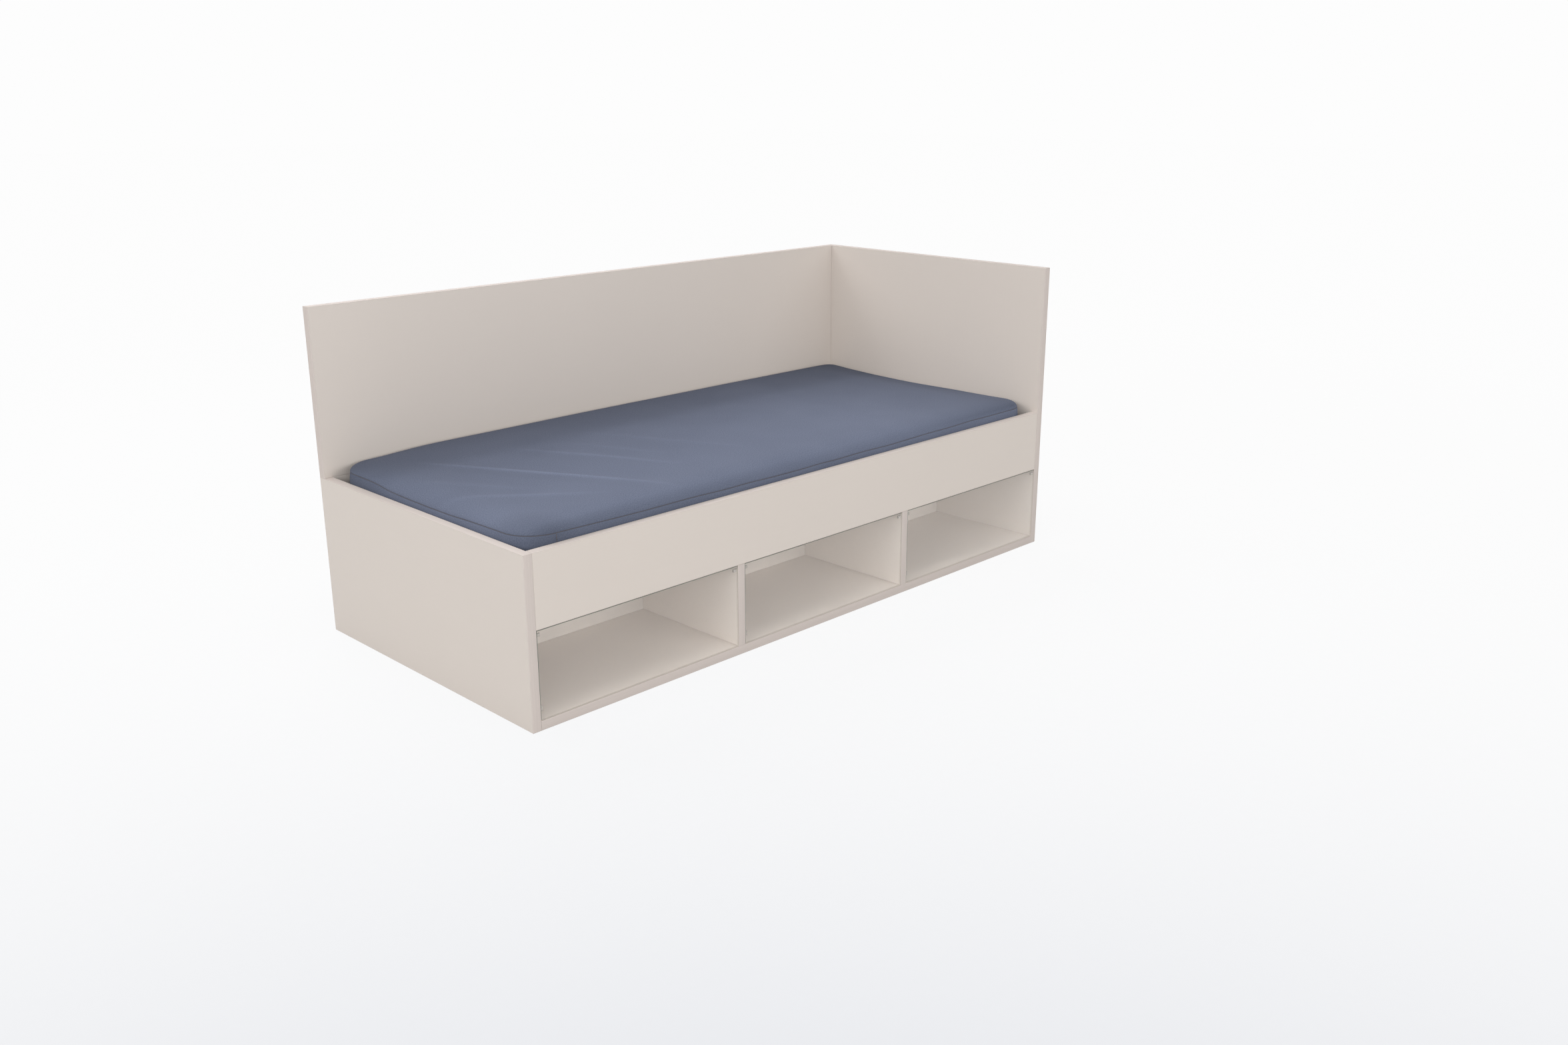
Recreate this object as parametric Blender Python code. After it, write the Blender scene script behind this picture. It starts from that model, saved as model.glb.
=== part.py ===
"""Corner bed: a low box of boards with three glazed niches in its front, a tall back and a tall right side.

Lengths are in metres and +Z is up. X runs along the bed, Y from its front to its back, and the origin lies
on the floor under the middle of the bed. The boards stand a hair apart (SEAM) wherever they meet.
"""
import math
from dataclasses import dataclass

import bmesh
import bpy
import numpy as np
from mathutils import Matrix, Vector

# Driving dimensions of the whole bed
BED_LENGTH = 2.060
BED_DEPTH = 0.950
TALL_HEIGHT = 0.920
BASE_HEIGHT = 0.450
RAIL_HEIGHT = 0.192
NICHE_DEPTH = 0.405
BOARD = 0.025
THIN_BOARD = 0.016
ARRIS = 0.0005
THIN_ARRIS = 0.00025
SEAM = 0.0003
OVERRUN = 0.002

# Slatted base
LEDGER = 0.030
LEDGER_DROP = 0.135
LEDGER_END_GAP = 0.055
SLAT_COUNT = 12
SLAT_WIDTH = 0.095
SLAT_THICKNESS = 0.015
SLAT_END_GAP = 0.004
SLAT_MARGIN = 0.030
TAPE_WIDTH = 0.020
TAPE_THICKNESS = 0.001
TAPE_OFFSET_SHARE = 0.62

# Mattress
MATTRESS_PLAY = 0.003
MATTRESS_SEAM_HEIGHT = 0.140
MATTRESS_CROWN = 0.030
MATTRESS_CORNER = 0.095
MATTRESS_DRAW = 0.005
MATTRESS_SHOULDER = 0.110
MATTRESS_CORNER_STEPS = 6
MATTRESS_LONG_STEPS = 8
MATTRESS_SHORT_STEPS = 4
# Each station pairs a share of the draw or shoulder with a share of the seam's height or of the crown
MATTRESS_UNDER_SHARES = ((7.0, 0.0), (2.6, 0.02))
MATTRESS_BAND_SHARES = ((1.0, 0.10), (0.3, 0.30), (0.0, 0.55), (0.3, 0.80), (1.0, 1.0))
MATTRESS_TOP_SHARES = ((0.02, 0.22), (0.11, 0.50), (0.30, 0.74), (0.65, 0.90), (1.20, 0.97), (2.10, 1.0))

# Glass flaps, hung from pivots near their top edge
GLASS = 0.004
GLASS_ARRIS = 0.0004
GLASS_INSET = 0.001
FLAP_SIDE_GAP = 0.002
FLAP_TOP_GAP = 0.0025
FLAP_BOTTOM_GAP = 0.002
PIVOT_DROP = 0.012
PIVOT_BLOCK_LENGTH = 0.010
PIVOT_BLOCK_HEIGHT = 0.008
PIVOT_BLOCK_DEPTH = 0.006
PIVOT_BLOCK_SETBACK = 0.001
PIN_RADIUS = 0.002
PIN_RUNNING_GAP = 0.0002
BUSH_RADIUS = 0.004
BUSH_LENGTH = 0.009

# Push latches on the left wall of each niche
LATCH_HEIGHT = 0.055
LATCH_SETBACK = 0.020
LATCH_LENGTH = 0.040
LATCH_WIDTH = 0.011
LATCH_TALL = 0.012
LATCH_BORE_DEPTH = 0.023
LATCH_SPIGOT_RADIUS = 0.004
LATCH_SPIGOT_LENGTH = 0.009
LATCH_SPIGOT_FROM_REAR = 0.009
PLUNGER_RADIUS = 0.0025
PLUNGER_LENGTH = 0.030
STRIKE_THICKNESS = 0.001
STRIKE_WIDTH = 0.006
STRIKE_TALL = 0.014

# Cam fittings and dowel
CAM_RADIUS = 0.0075
CAM_SETBACK = 0.034
CAM_REACH = 0.0045
CAM_RECESS = 0.0005
CAM_KEY_RADIUS = 0.003
CAM_KEY_DEPTH = 0.003
BOLT_RADIUS = 0.003
BOLT_THREAD_RADIUS = 0.0025
BOLT_NECK_RADIUS = 0.0017
BOLT_HEAD_RADIUS = 0.0026
BOLT_THREAD_LENGTH = 0.0105
BOLT_NECK_LENGTH = 0.003
BOLT_HEAD_IN_CAM = 0.004
DOWEL_RADIUS = 0.004
DOWEL_DEPTH = 0.020
ROUND_SIDES = 16
HEX_SIDES = 6

# Places of the fittings, as shares of the board that they follow
RAIL_CAM_SHARE = 0.78
UPPER_END_CAM_SHARE = 0.25

# Faces that the other sizes follow
LEFT_FACE = -BED_LENGTH / 2
RIGHT_FACE = BED_LENGTH / 2
FRONT_FACE = -BED_DEPTH / 2
REAR_FACE = BED_DEPTH / 2
INNER_LEFT = LEFT_FACE + BOARD
INNER_RIGHT = RIGHT_FACE - BOARD
RAIL_INNER = FRONT_FACE + BOARD
BACK_INNER = REAR_FACE - BOARD
INNER_LENGTH = INNER_RIGHT - INNER_LEFT
NICHE_REAR = FRONT_FACE + NICHE_DEPTH
NICHE_WALL_REAR = NICHE_REAR + THIN_BOARD
NICHE_WIDTH = (INNER_LENGTH - 2 * BOARD) / 3
DIVIDER_OFFSET = (NICHE_WIDTH + BOARD) / 2
NICHE_CEILING = BASE_HEIGHT - RAIL_HEIGHT
LEDGER_TOP = BASE_HEIGHT - LEDGER_DROP
SLAT_BASE = LEDGER_TOP + SEAM
MATTRESS_BASE = SLAT_BASE + SLAT_THICKNESS + SEAM
GLASS_FRONT = FRONT_FACE + GLASS_INSET
GLASS_REAR = GLASS_FRONT + GLASS
GLASS_TOP = NICHE_CEILING - FLAP_TOP_GAP
GLASS_BOTTOM = BOARD + FLAP_BOTTOM_GAP
PIVOT_Y = GLASS_REAR + SEAM + PIVOT_BLOCK_DEPTH / 2
PIVOT_Z = GLASS_TOP - PIVOT_DROP

X_AXIS = Vector((1, 0, 0))
Y_AXIS = Vector((0, 1, 0))
Z_AXIS = Vector((0, 0, 1))


@dataclass(frozen=True)
class Finish:
    """One kind of surface: its colour as linear red, green and blue, and how it reflects."""
    name: str
    colour: tuple
    roughness: float
    metallic: float = 0.0
    transmission: float = 0.0


GREIGE_BOARD = Finish("greige_board", (0.617, 0.558, 0.512), 0.55)
PINE = Finish("pine", (0.62, 0.42, 0.24), 0.6)
BEECH = Finish("beech", (0.55, 0.36, 0.21), 0.6)
WEBBING = Finish("webbing", (0.75, 0.74, 0.70), 0.9)
BLUE_FABRIC = Finish("blue_grey_fabric", (0.16, 0.185, 0.26), 0.95)
CLEAR_GLASS = Finish("clear_glass", (0.80, 0.85, 0.82), 0.03, transmission=1.0)
ZINC = Finish("zinc", (0.56, 0.56, 0.57), 0.35, metallic=1.0)
PAINTED_ZINC = Finish("painted_zinc", (0.58, 0.53, 0.49), 0.45)
GREIGE_PLASTIC = Finish("greige_plastic", (0.58, 0.53, 0.49), 0.5)

RODS = {}
PIECES = {}


def clear_scene():
    """Removes every object, so that the script can be run again."""
    for thing in list(bpy.data.objects):
        bpy.data.objects.remove(thing, do_unlink=True)


def finished(name, finish):
    """Gives one piece its own material from a finish."""
    material = bpy.data.materials.new(name + "_" + finish.name)
    material.use_nodes = True
    shader = material.node_tree.nodes["Principled BSDF"]
    shader.inputs["Base Color"].default_value = (*finish.colour, 1.0)
    shader.inputs["Roughness"].default_value = finish.roughness
    shader.inputs["Metallic"].default_value = finish.metallic
    shader.inputs["Transmission Weight"].default_value = finish.transmission
    material.diffuse_color = (*finish.colour, 1.0)
    return material


def place(name, bm, finish, origin, parent=None):
    """Turns a bmesh that is built in the bed's frame into an object whose origin is the given point."""
    bmesh.ops.recalc_face_normals(bm, faces=bm.faces)
    bmesh.ops.translate(bm, verts=bm.verts, vec=-Vector(origin))
    mesh = bpy.data.meshes.new(name)
    bm.to_mesh(mesh)
    bm.free()
    piece = bpy.data.objects.new(name, mesh)
    bpy.context.scene.collection.objects.link(piece)
    piece.location = origin
    if parent is not None:
        piece.parent = parent
        piece.location = Vector(origin) - parent.location
    if finish is not None:
        mesh.materials.append(finished(name, finish))
    PIECES[name] = piece
    return piece


def smooth_rounds(piece):
    """Shades a round piece smooth, with its real edges kept sharp."""
    piece.data.shade_smooth()
    piece.data.set_sharp_from_angle(angle=math.radians(40))


def add_box(bm, low, high):
    """Adds a box between two opposite corners."""
    low = Vector(low)
    high = Vector(high)
    size = Matrix.Diagonal((*(high - low), 1.0))
    bmesh.ops.create_cube(bm, size=1.0, matrix=Matrix.Translation((low + high) / 2) @ size)


def add_turned(bm, start, direction, profile, sides=ROUND_SIDES, closed=False):
    """Adds a solid turned about the line that leaves start along direction.

    The profile is a list of (radius, distance along the line). An open profile is capped at both ends, and
    a closed one joins its last point to its first, as for a tube.
    """
    turn = Vector(direction).to_track_quat("Z", "Y").to_matrix()
    rings = []
    for radius, along in profile:
        ring = []
        for step in range(sides):
            angle = 2 * math.pi * step / sides
            point = Vector((radius * math.cos(angle), radius * math.sin(angle), along))
            ring.append(bm.verts.new(Vector(start) + turn @ point))
        rings.append(ring)
    pairs = list(zip(rings, rings[1:]))
    if closed:
        pairs.append((rings[-1], rings[0]))
    else:
        bm.faces.new(rings[0])
        bm.faces.new(rings[-1])
    for lower, upper in pairs:
        for step in range(sides):
            after = (step + 1) % sides
            bm.faces.new((lower[step], lower[after], upper[after], upper[step]))


def add_rod(bm, start, direction, radius, length, sides=ROUND_SIDES):
    """Adds a plain round rod."""
    add_turned(bm, start, direction, ((radius, 0), (radius, length)), sides)


def board(name, low, high, finish=GREIGE_BOARD, parent=None, origin=None, arris=ARRIS):
    """Makes one board, batten or block with eased arrises."""
    bm = bmesh.new()
    add_box(bm, low, high)
    middle = (Vector(low) + Vector(high)) / 2
    piece = place(name, bm, finish, middle if origin is None else origin, parent)
    eased = piece.modifiers.new("eased_arrises", "BEVEL")
    eased.width = arris
    eased.segments = 1
    eased.limit_method = "ANGLE"
    return piece


def join_rod(name, start, direction, radius, length):
    """Notes a rod that is part of a piece, such as a pivot's pin or a housing's spigot."""
    RODS.setdefault((name, "1_pins"), []).append((start, direction, radius, length, ROUND_SIDES))


def drill(name, mouth, direction, radius, depth, sides=ROUND_SIDES, crossing=False):
    """Notes a round hole in a piece: from its mouth inwards, with an overrun in front of the mouth.

    A crossing hole runs into another hole of the same piece, so it's cut after the others.
    """
    start = Vector(mouth) - Vector(direction) * OVERRUN
    kind = "3_crossing_holes" if crossing else "2_holes"
    RODS.setdefault((name, kind), []).append((start, direction, radius, depth + OVERRUN, sides))


def apply_rods():
    """Joins the noted pins to their pieces, then cuts the noted holes."""
    for name, kind in sorted(RODS):
        bm = bmesh.new()
        for start, direction, radius, length, sides in RODS[name, kind]:
            add_rod(bm, start, direction, radius, length, sides)
        tool = place(name + "_" + kind, bm, None, (0, 0, 0))
        tool.hide_render = True
        tool.display_type = "WIRE"
        change = PIECES[name].modifiers.new(kind, "BOOLEAN")
        change.operation = "UNION" if kind == "1_pins" else "DIFFERENCE"
        change.solver = "EXACT"
        change.object = tool


def between(low, high, share):
    """The place at a share of the way from low to high."""
    return low + (high - low) * share


def make_boards():
    """The twelve boards of the carcass."""
    rail_z = (NICHE_CEILING, BASE_HEIGHT)
    board("left_side_panel", (LEFT_FACE, FRONT_FACE, 0), (INNER_LEFT, REAR_FACE, BASE_HEIGHT))
    board("right_side_panel", (INNER_RIGHT, FRONT_FACE, 0), (RIGHT_FACE, REAR_FACE, TALL_HEIGHT))
    left = INNER_LEFT + SEAM
    right = INNER_RIGHT - SEAM
    board("front_rail", (left, FRONT_FACE, rail_z[0]), (right, RAIL_INNER, rail_z[1]))
    board("bottom_board", (left, FRONT_FACE, 0), (right, NICHE_WALL_REAR, BOARD))
    board("lower_back_panel", (left, BACK_INNER, 0), (right, REAR_FACE, BASE_HEIGHT))
    board("upper_back_panel", (LEFT_FACE, BACK_INNER, BASE_HEIGHT + SEAM), (right, REAR_FACE, TALL_HEIGHT))
    board("niche_back_wall", (left, NICHE_REAR, BOARD + SEAM), (right, NICHE_WALL_REAR, NICHE_CEILING - SEAM))
    top = NICHE_CEILING + THIN_BOARD
    board("niche_top_board", (left, RAIL_INNER + SEAM, NICHE_CEILING), (right, NICHE_WALL_REAR, top))
    for side, word in ((-1, "left"), (1, "right")):
        low_x = side * DIVIDER_OFFSET - BOARD / 2
        high_x = side * DIVIDER_OFFSET + BOARD / 2
        low = (low_x, FRONT_FACE, BOARD + SEAM)
        high = (high_x, NICHE_REAR - SEAM, NICHE_CEILING - SEAM)
        board(word + "_niche_divider", low, high)
        low = (low_x, NICHE_WALL_REAR + SEAM, 0)
        high = (high_x, BACK_INNER - SEAM, NICHE_CEILING)
        board(word + "_rear_spacer", low, high)


def make_slatted_base():
    """Two ledgers, the slats across them and the two tapes that keep the slats apart."""
    low_x = INNER_LEFT + LEDGER_END_GAP
    high_x = INNER_RIGHT - LEDGER_END_GAP
    low_z = LEDGER_TOP - LEDGER
    fronts = {"front_slat_ledger": RAIL_INNER + SEAM, "rear_slat_ledger": BACK_INNER - SEAM - LEDGER}
    for name, low_y in fronts.items():
        board(name, (low_x, low_y, low_z), (high_x, low_y + LEDGER, LEDGER_TOP), PINE)
    first = INNER_LEFT + SLAT_MARGIN
    pitch = (INNER_LENGTH - 2 * SLAT_MARGIN - SLAT_WIDTH) / (SLAT_COUNT - 1)
    top = SLAT_BASE + SLAT_THICKNESS
    for count in range(SLAT_COUNT):
        low_x = first + count * pitch
        low = (low_x, RAIL_INNER + SLAT_END_GAP, SLAT_BASE)
        high = (low_x + SLAT_WIDTH, BACK_INNER - SLAT_END_GAP, top)
        board("bed_slat_%02d" % (count + 1), low, high, PINE)
    for side, word in ((-1, "front"), (1, "rear")):
        middle = side * BACK_INNER * TAPE_OFFSET_SHARE
        low = (first, middle - TAPE_WIDTH / 2, SLAT_BASE - SEAM - TAPE_THICKNESS)
        high = (-first, middle + TAPE_WIDTH / 2, SLAT_BASE - SEAM)
        board(word + "_slat_tape", low, high, WEBBING, arris=THIN_ARRIS)


def mattress_outline(inset):
    """The mattress's outline in plan, drawn in by inset: a rectangle with round corners, anticlockwise."""
    half_x = INNER_LENGTH / 2 - MATTRESS_PLAY - inset - MATTRESS_CORNER
    half_y = (BACK_INNER - RAIL_INNER) / 2 - MATTRESS_PLAY - inset - MATTRESS_CORNER
    points = []
    corners = ((1, 1), (-1, 1), (-1, -1), (1, -1))
    side_steps = (MATTRESS_LONG_STEPS, MATTRESS_SHORT_STEPS, MATTRESS_LONG_STEPS, MATTRESS_SHORT_STEPS)
    for number, (side_x, side_y) in enumerate(corners):
        for step in range(MATTRESS_CORNER_STEPS + 1):
            angle = math.pi / 2 * (number + step / MATTRESS_CORNER_STEPS)
            reach_x = MATTRESS_CORNER * math.cos(angle)
            reach_y = MATTRESS_CORNER * math.sin(angle)
            points.append((side_x * half_x + reach_x, side_y * half_y + reach_y))
        start = np.array(points[-1])
        turn = math.pi / 2 * (number + 1)
        next_x, next_y = corners[(number + 1) % len(corners)]
        end = np.array((next_x * half_x + MATTRESS_CORNER * math.cos(turn),
                        next_y * half_y + MATTRESS_CORNER * math.sin(turn)))
        for step in range(1, side_steps[number]):
            points.append(tuple(start + (end - start) * step / side_steps[number]))
    return points


def make_mattress():
    """The mattress: a band drawn in at its two seams, and a top that swells over its edge into a crown."""
    stations = []
    for draw, rise in MATTRESS_UNDER_SHARES + MATTRESS_BAND_SHARES:
        stations.append((MATTRESS_DRAW * draw, MATTRESS_SEAM_HEIGHT * rise))
    for shoulder, rise in MATTRESS_TOP_SHARES:
        inset = MATTRESS_DRAW + MATTRESS_SHOULDER * shoulder
        stations.append((inset, MATTRESS_SEAM_HEIGHT + MATTRESS_CROWN * rise))
    bm = bmesh.new()
    rings = []
    for inset, height in stations:
        outline = mattress_outline(inset)
        rings.append([bm.verts.new((x, y, MATTRESS_BASE + height)) for x, y in outline])
    bm.faces.new(rings[0])
    bm.faces.new(rings[-1])
    for lower, upper in zip(rings, rings[1:]):
        for step in range(len(lower)):
            after = (step + 1) % len(lower)
            bm.faces.new((lower[step], lower[after], upper[after], upper[step]))
    piece = place("mattress", bm, BLUE_FABRIC, (0, 0, MATTRESS_BASE))
    smooth_rounds(piece)


def cam_fitting(word, carrier, panel, mouth, run, face, half):
    """One cam lock in a board's face and the bolt that ties it to the panel at the board's end.

    The mouth is the point between the two boards on the bolt's line, run points into the panel, face points
    out of the face that the cam is pressed into, and half is half the carrier's thickness.
    """
    mouth = Vector(mouth)
    pocket = mouth - run * CAM_SETBACK + face * half
    pocket_depth = half + CAM_REACH
    drill(carrier, pocket, -face, CAM_RADIUS + SEAM, pocket_depth)
    bore = CAM_SETBACK - CAM_RADIUS / 2
    drill(carrier, mouth, -run, BOLT_RADIUS + SEAM, bore, crossing=True)
    drill(panel, mouth, run, BOLT_THREAD_RADIUS + SEAM, BOLT_THREAD_LENGTH + SEAM)
    cam_face = pocket - face * CAM_RECESS
    cam = bmesh.new()
    add_rod(cam, cam_face, -face, CAM_RADIUS, pocket_depth - CAM_RECESS - SEAM)
    lock = word + "_cam_lock"
    smooth_rounds(place(lock, cam, ZINC, cam_face))
    cam_mouth = mouth - run * (CAM_SETBACK - CAM_RADIUS)
    drill(lock, cam_mouth, -run, BOLT_HEAD_RADIUS + SEAM, BOLT_HEAD_IN_CAM + SEAM)
    drill(lock, cam_face, -face, CAM_KEY_RADIUS, CAM_KEY_DEPTH, sides=HEX_SIDES)
    start = mouth + run * BOLT_THREAD_LENGTH
    shaft_end = BOLT_THREAD_LENGTH + CAM_SETBACK - CAM_RADIUS - BOLT_NECK_LENGTH / 2
    head_start = shaft_end + BOLT_NECK_LENGTH
    head_end = BOLT_THREAD_LENGTH + CAM_SETBACK - CAM_RADIUS + BOLT_HEAD_IN_CAM
    profile = (
        (BOLT_THREAD_RADIUS, 0),
        (BOLT_THREAD_RADIUS, BOLT_THREAD_LENGTH + SEAM),
        (BOLT_RADIUS, BOLT_THREAD_LENGTH + 2 * SEAM),
        (BOLT_RADIUS, shaft_end),
        (BOLT_NECK_RADIUS, shaft_end + SEAM),
        (BOLT_NECK_RADIUS, head_start),
        (BOLT_HEAD_RADIUS, head_start + SEAM),
        (BOLT_HEAD_RADIUS, head_end - SEAM),
    )
    bolt = bmesh.new()
    add_turned(bolt, start, -run, profile)
    smooth_rounds(place(word + "_cam_bolt", bolt, ZINC, start))


def make_fittings():
    """The cam fittings at the rail's ends and the upper back's end, and the upper back's dowel."""
    half = BOARD / 2
    rail_z = between(NICHE_CEILING, BASE_HEIGHT, RAIL_CAM_SHARE)
    for side, word, inner_x in ((-1, "left", INNER_LEFT), (1, "right", INNER_RIGHT)):
        mouth = (inner_x, FRONT_FACE + half, rail_z)
        cam_fitting("rail_" + word, "front_rail", word + "_side_panel", mouth, X_AXIS * side, Y_AXIS, half)
    upper_z = between(BASE_HEIGHT, TALL_HEIGHT, UPPER_END_CAM_SHARE)
    mouth = (INNER_RIGHT, REAR_FACE - half, upper_z)
    cam_fitting("upper_back", "upper_back_panel", "right_side_panel", mouth, X_AXIS, Y_AXIS, half)
    mouth = Vector((LEFT_FACE + half, REAR_FACE - half, BASE_HEIGHT))
    for name, run in (("upper_back_panel", Z_AXIS), ("left_side_panel", -Z_AXIS)):
        drill(name, mouth, run, DOWEL_RADIUS + SEAM, DOWEL_DEPTH + SEAM)
    dowel = bmesh.new()
    add_rod(dowel, mouth - Z_AXIS * DOWEL_DEPTH, Z_AXIS, DOWEL_RADIUS, 2 * DOWEL_DEPTH)
    smooth_rounds(place("upper_back_dowel", dowel, BEECH, mouth))


def niche_walls():
    """The three niches from left to right: word, left wall's face and its board, right wall's face and board."""
    inner = DIVIDER_OFFSET - BOARD / 2
    outer = DIVIDER_OFFSET + BOARD / 2
    return (
        ("left", INNER_LEFT, "left_side_panel", -outer, "left_niche_divider"),
        ("middle", -inner, "left_niche_divider", inner, "right_niche_divider"),
        ("right", outer, "right_niche_divider", INNER_RIGHT, "right_side_panel"),
    )


def make_flap(word, left_wall, left_board, right_wall, right_board):
    """One glass flap with its pivots, the bushes that the pivots turn in and its strike plate."""
    hinge = bpy.data.objects.new(word + "_flap_hinge", None)
    bpy.context.scene.collection.objects.link(hinge)
    hinge.location = ((left_wall + right_wall) / 2, PIVOT_Y, PIVOT_Z)
    axis = hinge.location.copy()
    low = (left_wall + FLAP_SIDE_GAP, GLASS_FRONT, GLASS_BOTTOM)
    high = (right_wall - FLAP_SIDE_GAP, GLASS_REAR, GLASS_TOP)
    board(word + "_glass_flap", low, high, CLEAR_GLASS, hinge, axis, GLASS_ARRIS)
    bore = PIN_RADIUS + PIN_RUNNING_GAP
    half_depth = PIVOT_BLOCK_DEPTH / 2
    half_height = PIVOT_BLOCK_HEIGHT / 2
    sides = ((1, "left", left_wall, left_board), (-1, "right", right_wall, right_board))
    for inward, side_word, wall, wall_board in sides:
        start_x = wall + inward * (FLAP_SIDE_GAP + PIVOT_BLOCK_SETBACK)
        end_x = start_x + inward * PIVOT_BLOCK_LENGTH
        low = (min(start_x, end_x), PIVOT_Y - half_depth, PIVOT_Z - half_height)
        high = (max(start_x, end_x), PIVOT_Y + half_depth, PIVOT_Z + half_height)
        pivot = word + "_flap_" + side_word + "_pivot"
        board(pivot, low, high, PAINTED_ZINC, hinge, axis)
        run = X_AXIS * inward
        mouth = Vector((wall, PIVOT_Y, PIVOT_Z))
        pin_length = BUSH_LENGTH - SEAM + FLAP_SIDE_GAP + PIVOT_BLOCK_SETBACK + PIVOT_BLOCK_LENGTH / 2
        join_rod(pivot, mouth - run * (BUSH_LENGTH - SEAM), run, PIN_RADIUS, pin_length)
        drill(wall_board, mouth, -run, BUSH_RADIUS + SEAM, BUSH_LENGTH + SEAM)
        bush = bmesh.new()
        ring = ((bore, 0), (BUSH_RADIUS, 0), (BUSH_RADIUS, BUSH_LENGTH), (bore, BUSH_LENGTH))
        add_turned(bush, mouth, -run, ring, closed=True)
        smooth_rounds(place(word + "_flap_" + side_word + "_bush", bush, GREIGE_PLASTIC, mouth))
    strike_x = left_wall + LATCH_WIDTH / 2
    strike_rear = GLASS_REAR + SEAM + STRIKE_THICKNESS
    low = (strike_x - STRIKE_WIDTH / 2, GLASS_REAR + SEAM, LATCH_HEIGHT - STRIKE_TALL / 2)
    high = (strike_x + STRIKE_WIDTH / 2, strike_rear, LATCH_HEIGHT + STRIKE_TALL / 2)
    board(word + "_flap_strike_plate", low, high, PAINTED_ZINC, hinge, axis, THIN_ARRIS)


def make_latch(word, wall, wall_board):
    """One push latch: its housing, whose spigot is pressed into the left wall, and its plunger."""
    low_y = FRONT_FACE + LATCH_SETBACK
    high_y = low_y + LATCH_LENGTH
    low = (wall + SEAM, low_y, LATCH_HEIGHT - LATCH_TALL / 2)
    high = (wall + LATCH_WIDTH, high_y, LATCH_HEIGHT + LATCH_TALL / 2)
    housing = word + "_latch_housing"
    board(housing, low, high, GREIGE_PLASTIC)
    middle_x = wall + LATCH_WIDTH / 2
    mouth = Vector((middle_x, low_y, LATCH_HEIGHT))
    drill(housing, mouth, Y_AXIS, PLUNGER_RADIUS + SEAM, LATCH_BORE_DEPTH)
    spigot_mouth = Vector((wall, high_y - LATCH_SPIGOT_FROM_REAR, LATCH_HEIGHT))
    drill(wall_board, spigot_mouth, -X_AXIS, LATCH_SPIGOT_RADIUS + SEAM, LATCH_SPIGOT_LENGTH + SEAM)
    spigot_start = spigot_mouth - X_AXIS * LATCH_SPIGOT_LENGTH
    join_rod(housing, spigot_start, X_AXIS, LATCH_SPIGOT_RADIUS, LATCH_SPIGOT_LENGTH + LATCH_WIDTH / 2)
    tip = Vector((middle_x, GLASS_REAR + SEAM + STRIKE_THICKNESS + SEAM, LATCH_HEIGHT))
    plunger = bmesh.new()
    add_rod(plunger, tip, Y_AXIS, PLUNGER_RADIUS, PLUNGER_LENGTH)
    smooth_rounds(place(word + "_latch_plunger", plunger, GREIGE_PLASTIC, tip))


def make_niche_fronts():
    """The three flaps and their latches."""
    for word, left_wall, left_board, right_wall, right_board in niche_walls():
        make_flap(word, left_wall, left_board, right_wall, right_board)
        make_latch(word, left_wall, left_board)


def main():
    """Builds the bed."""
    clear_scene()
    make_boards()
    make_slatted_base()
    make_mattress()
    make_fittings()
    make_niche_fronts()
    apply_rods()


main()
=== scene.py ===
"""The corner bed, dressed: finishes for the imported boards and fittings, edge bands, mattress, studio and camera."""

import logging
from dataclasses import dataclass, field
from enum import Enum
from typing import Any, ClassVar, Mapping, Sequence

import bmesh
import bpy
import numpy as np
from mathutils import Euler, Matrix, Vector


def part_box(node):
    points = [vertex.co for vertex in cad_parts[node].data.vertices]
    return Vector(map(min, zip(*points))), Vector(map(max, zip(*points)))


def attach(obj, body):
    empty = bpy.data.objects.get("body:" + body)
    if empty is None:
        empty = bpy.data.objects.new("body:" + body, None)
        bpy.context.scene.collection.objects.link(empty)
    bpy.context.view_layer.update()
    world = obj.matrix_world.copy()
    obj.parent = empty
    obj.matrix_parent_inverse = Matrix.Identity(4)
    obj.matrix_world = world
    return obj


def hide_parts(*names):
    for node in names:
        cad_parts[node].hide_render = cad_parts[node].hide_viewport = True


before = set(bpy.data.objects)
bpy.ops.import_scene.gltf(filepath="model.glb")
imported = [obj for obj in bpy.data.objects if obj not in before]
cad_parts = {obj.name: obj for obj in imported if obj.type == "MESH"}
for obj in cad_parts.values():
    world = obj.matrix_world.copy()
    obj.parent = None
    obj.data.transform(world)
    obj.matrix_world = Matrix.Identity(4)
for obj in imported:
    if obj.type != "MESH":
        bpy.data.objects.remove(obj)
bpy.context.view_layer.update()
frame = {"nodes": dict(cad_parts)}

LOG = logging.getLogger("corner_bed")
MILLIMETRE = 0.001
Colour = tuple[float, float, float]
Socket = bpy.types.NodeSocket


class Body(Enum):
    """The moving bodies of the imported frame."""

    BED = "bed"
    LEFT_FLAP = "left_flap"
    MIDDLE_FLAP = "middle_flap"
    RIGHT_FLAP = "right_flap"


class Axis(Enum):
    """A direction of the frame, by its column number."""

    X = 0
    Y = 1
    Z = 2


def paint(red: float, green: float, blue: float) -> Colour:
    """Turns a colour as a picture stores it into linear light, by the sRGB curve.

    Args:
        red, green, blue: the stored values, 0 to 255.

    Returns:
        The same colour in linear light, 0 to 1.
    """
    stored = np.array([red, green, blue]) / 255
    linear = np.where(stored <= 0.04045, stored / 12.92, ((stored + 0.055) / 1.055) ** 2.4)
    return tuple(float(value) for value in linear)


def shade(colour: Colour, share: float) -> Colour:
    """Gives a colour darker or lighter by one share for all three parts."""
    return tuple(part * share for part in colour)


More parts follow.
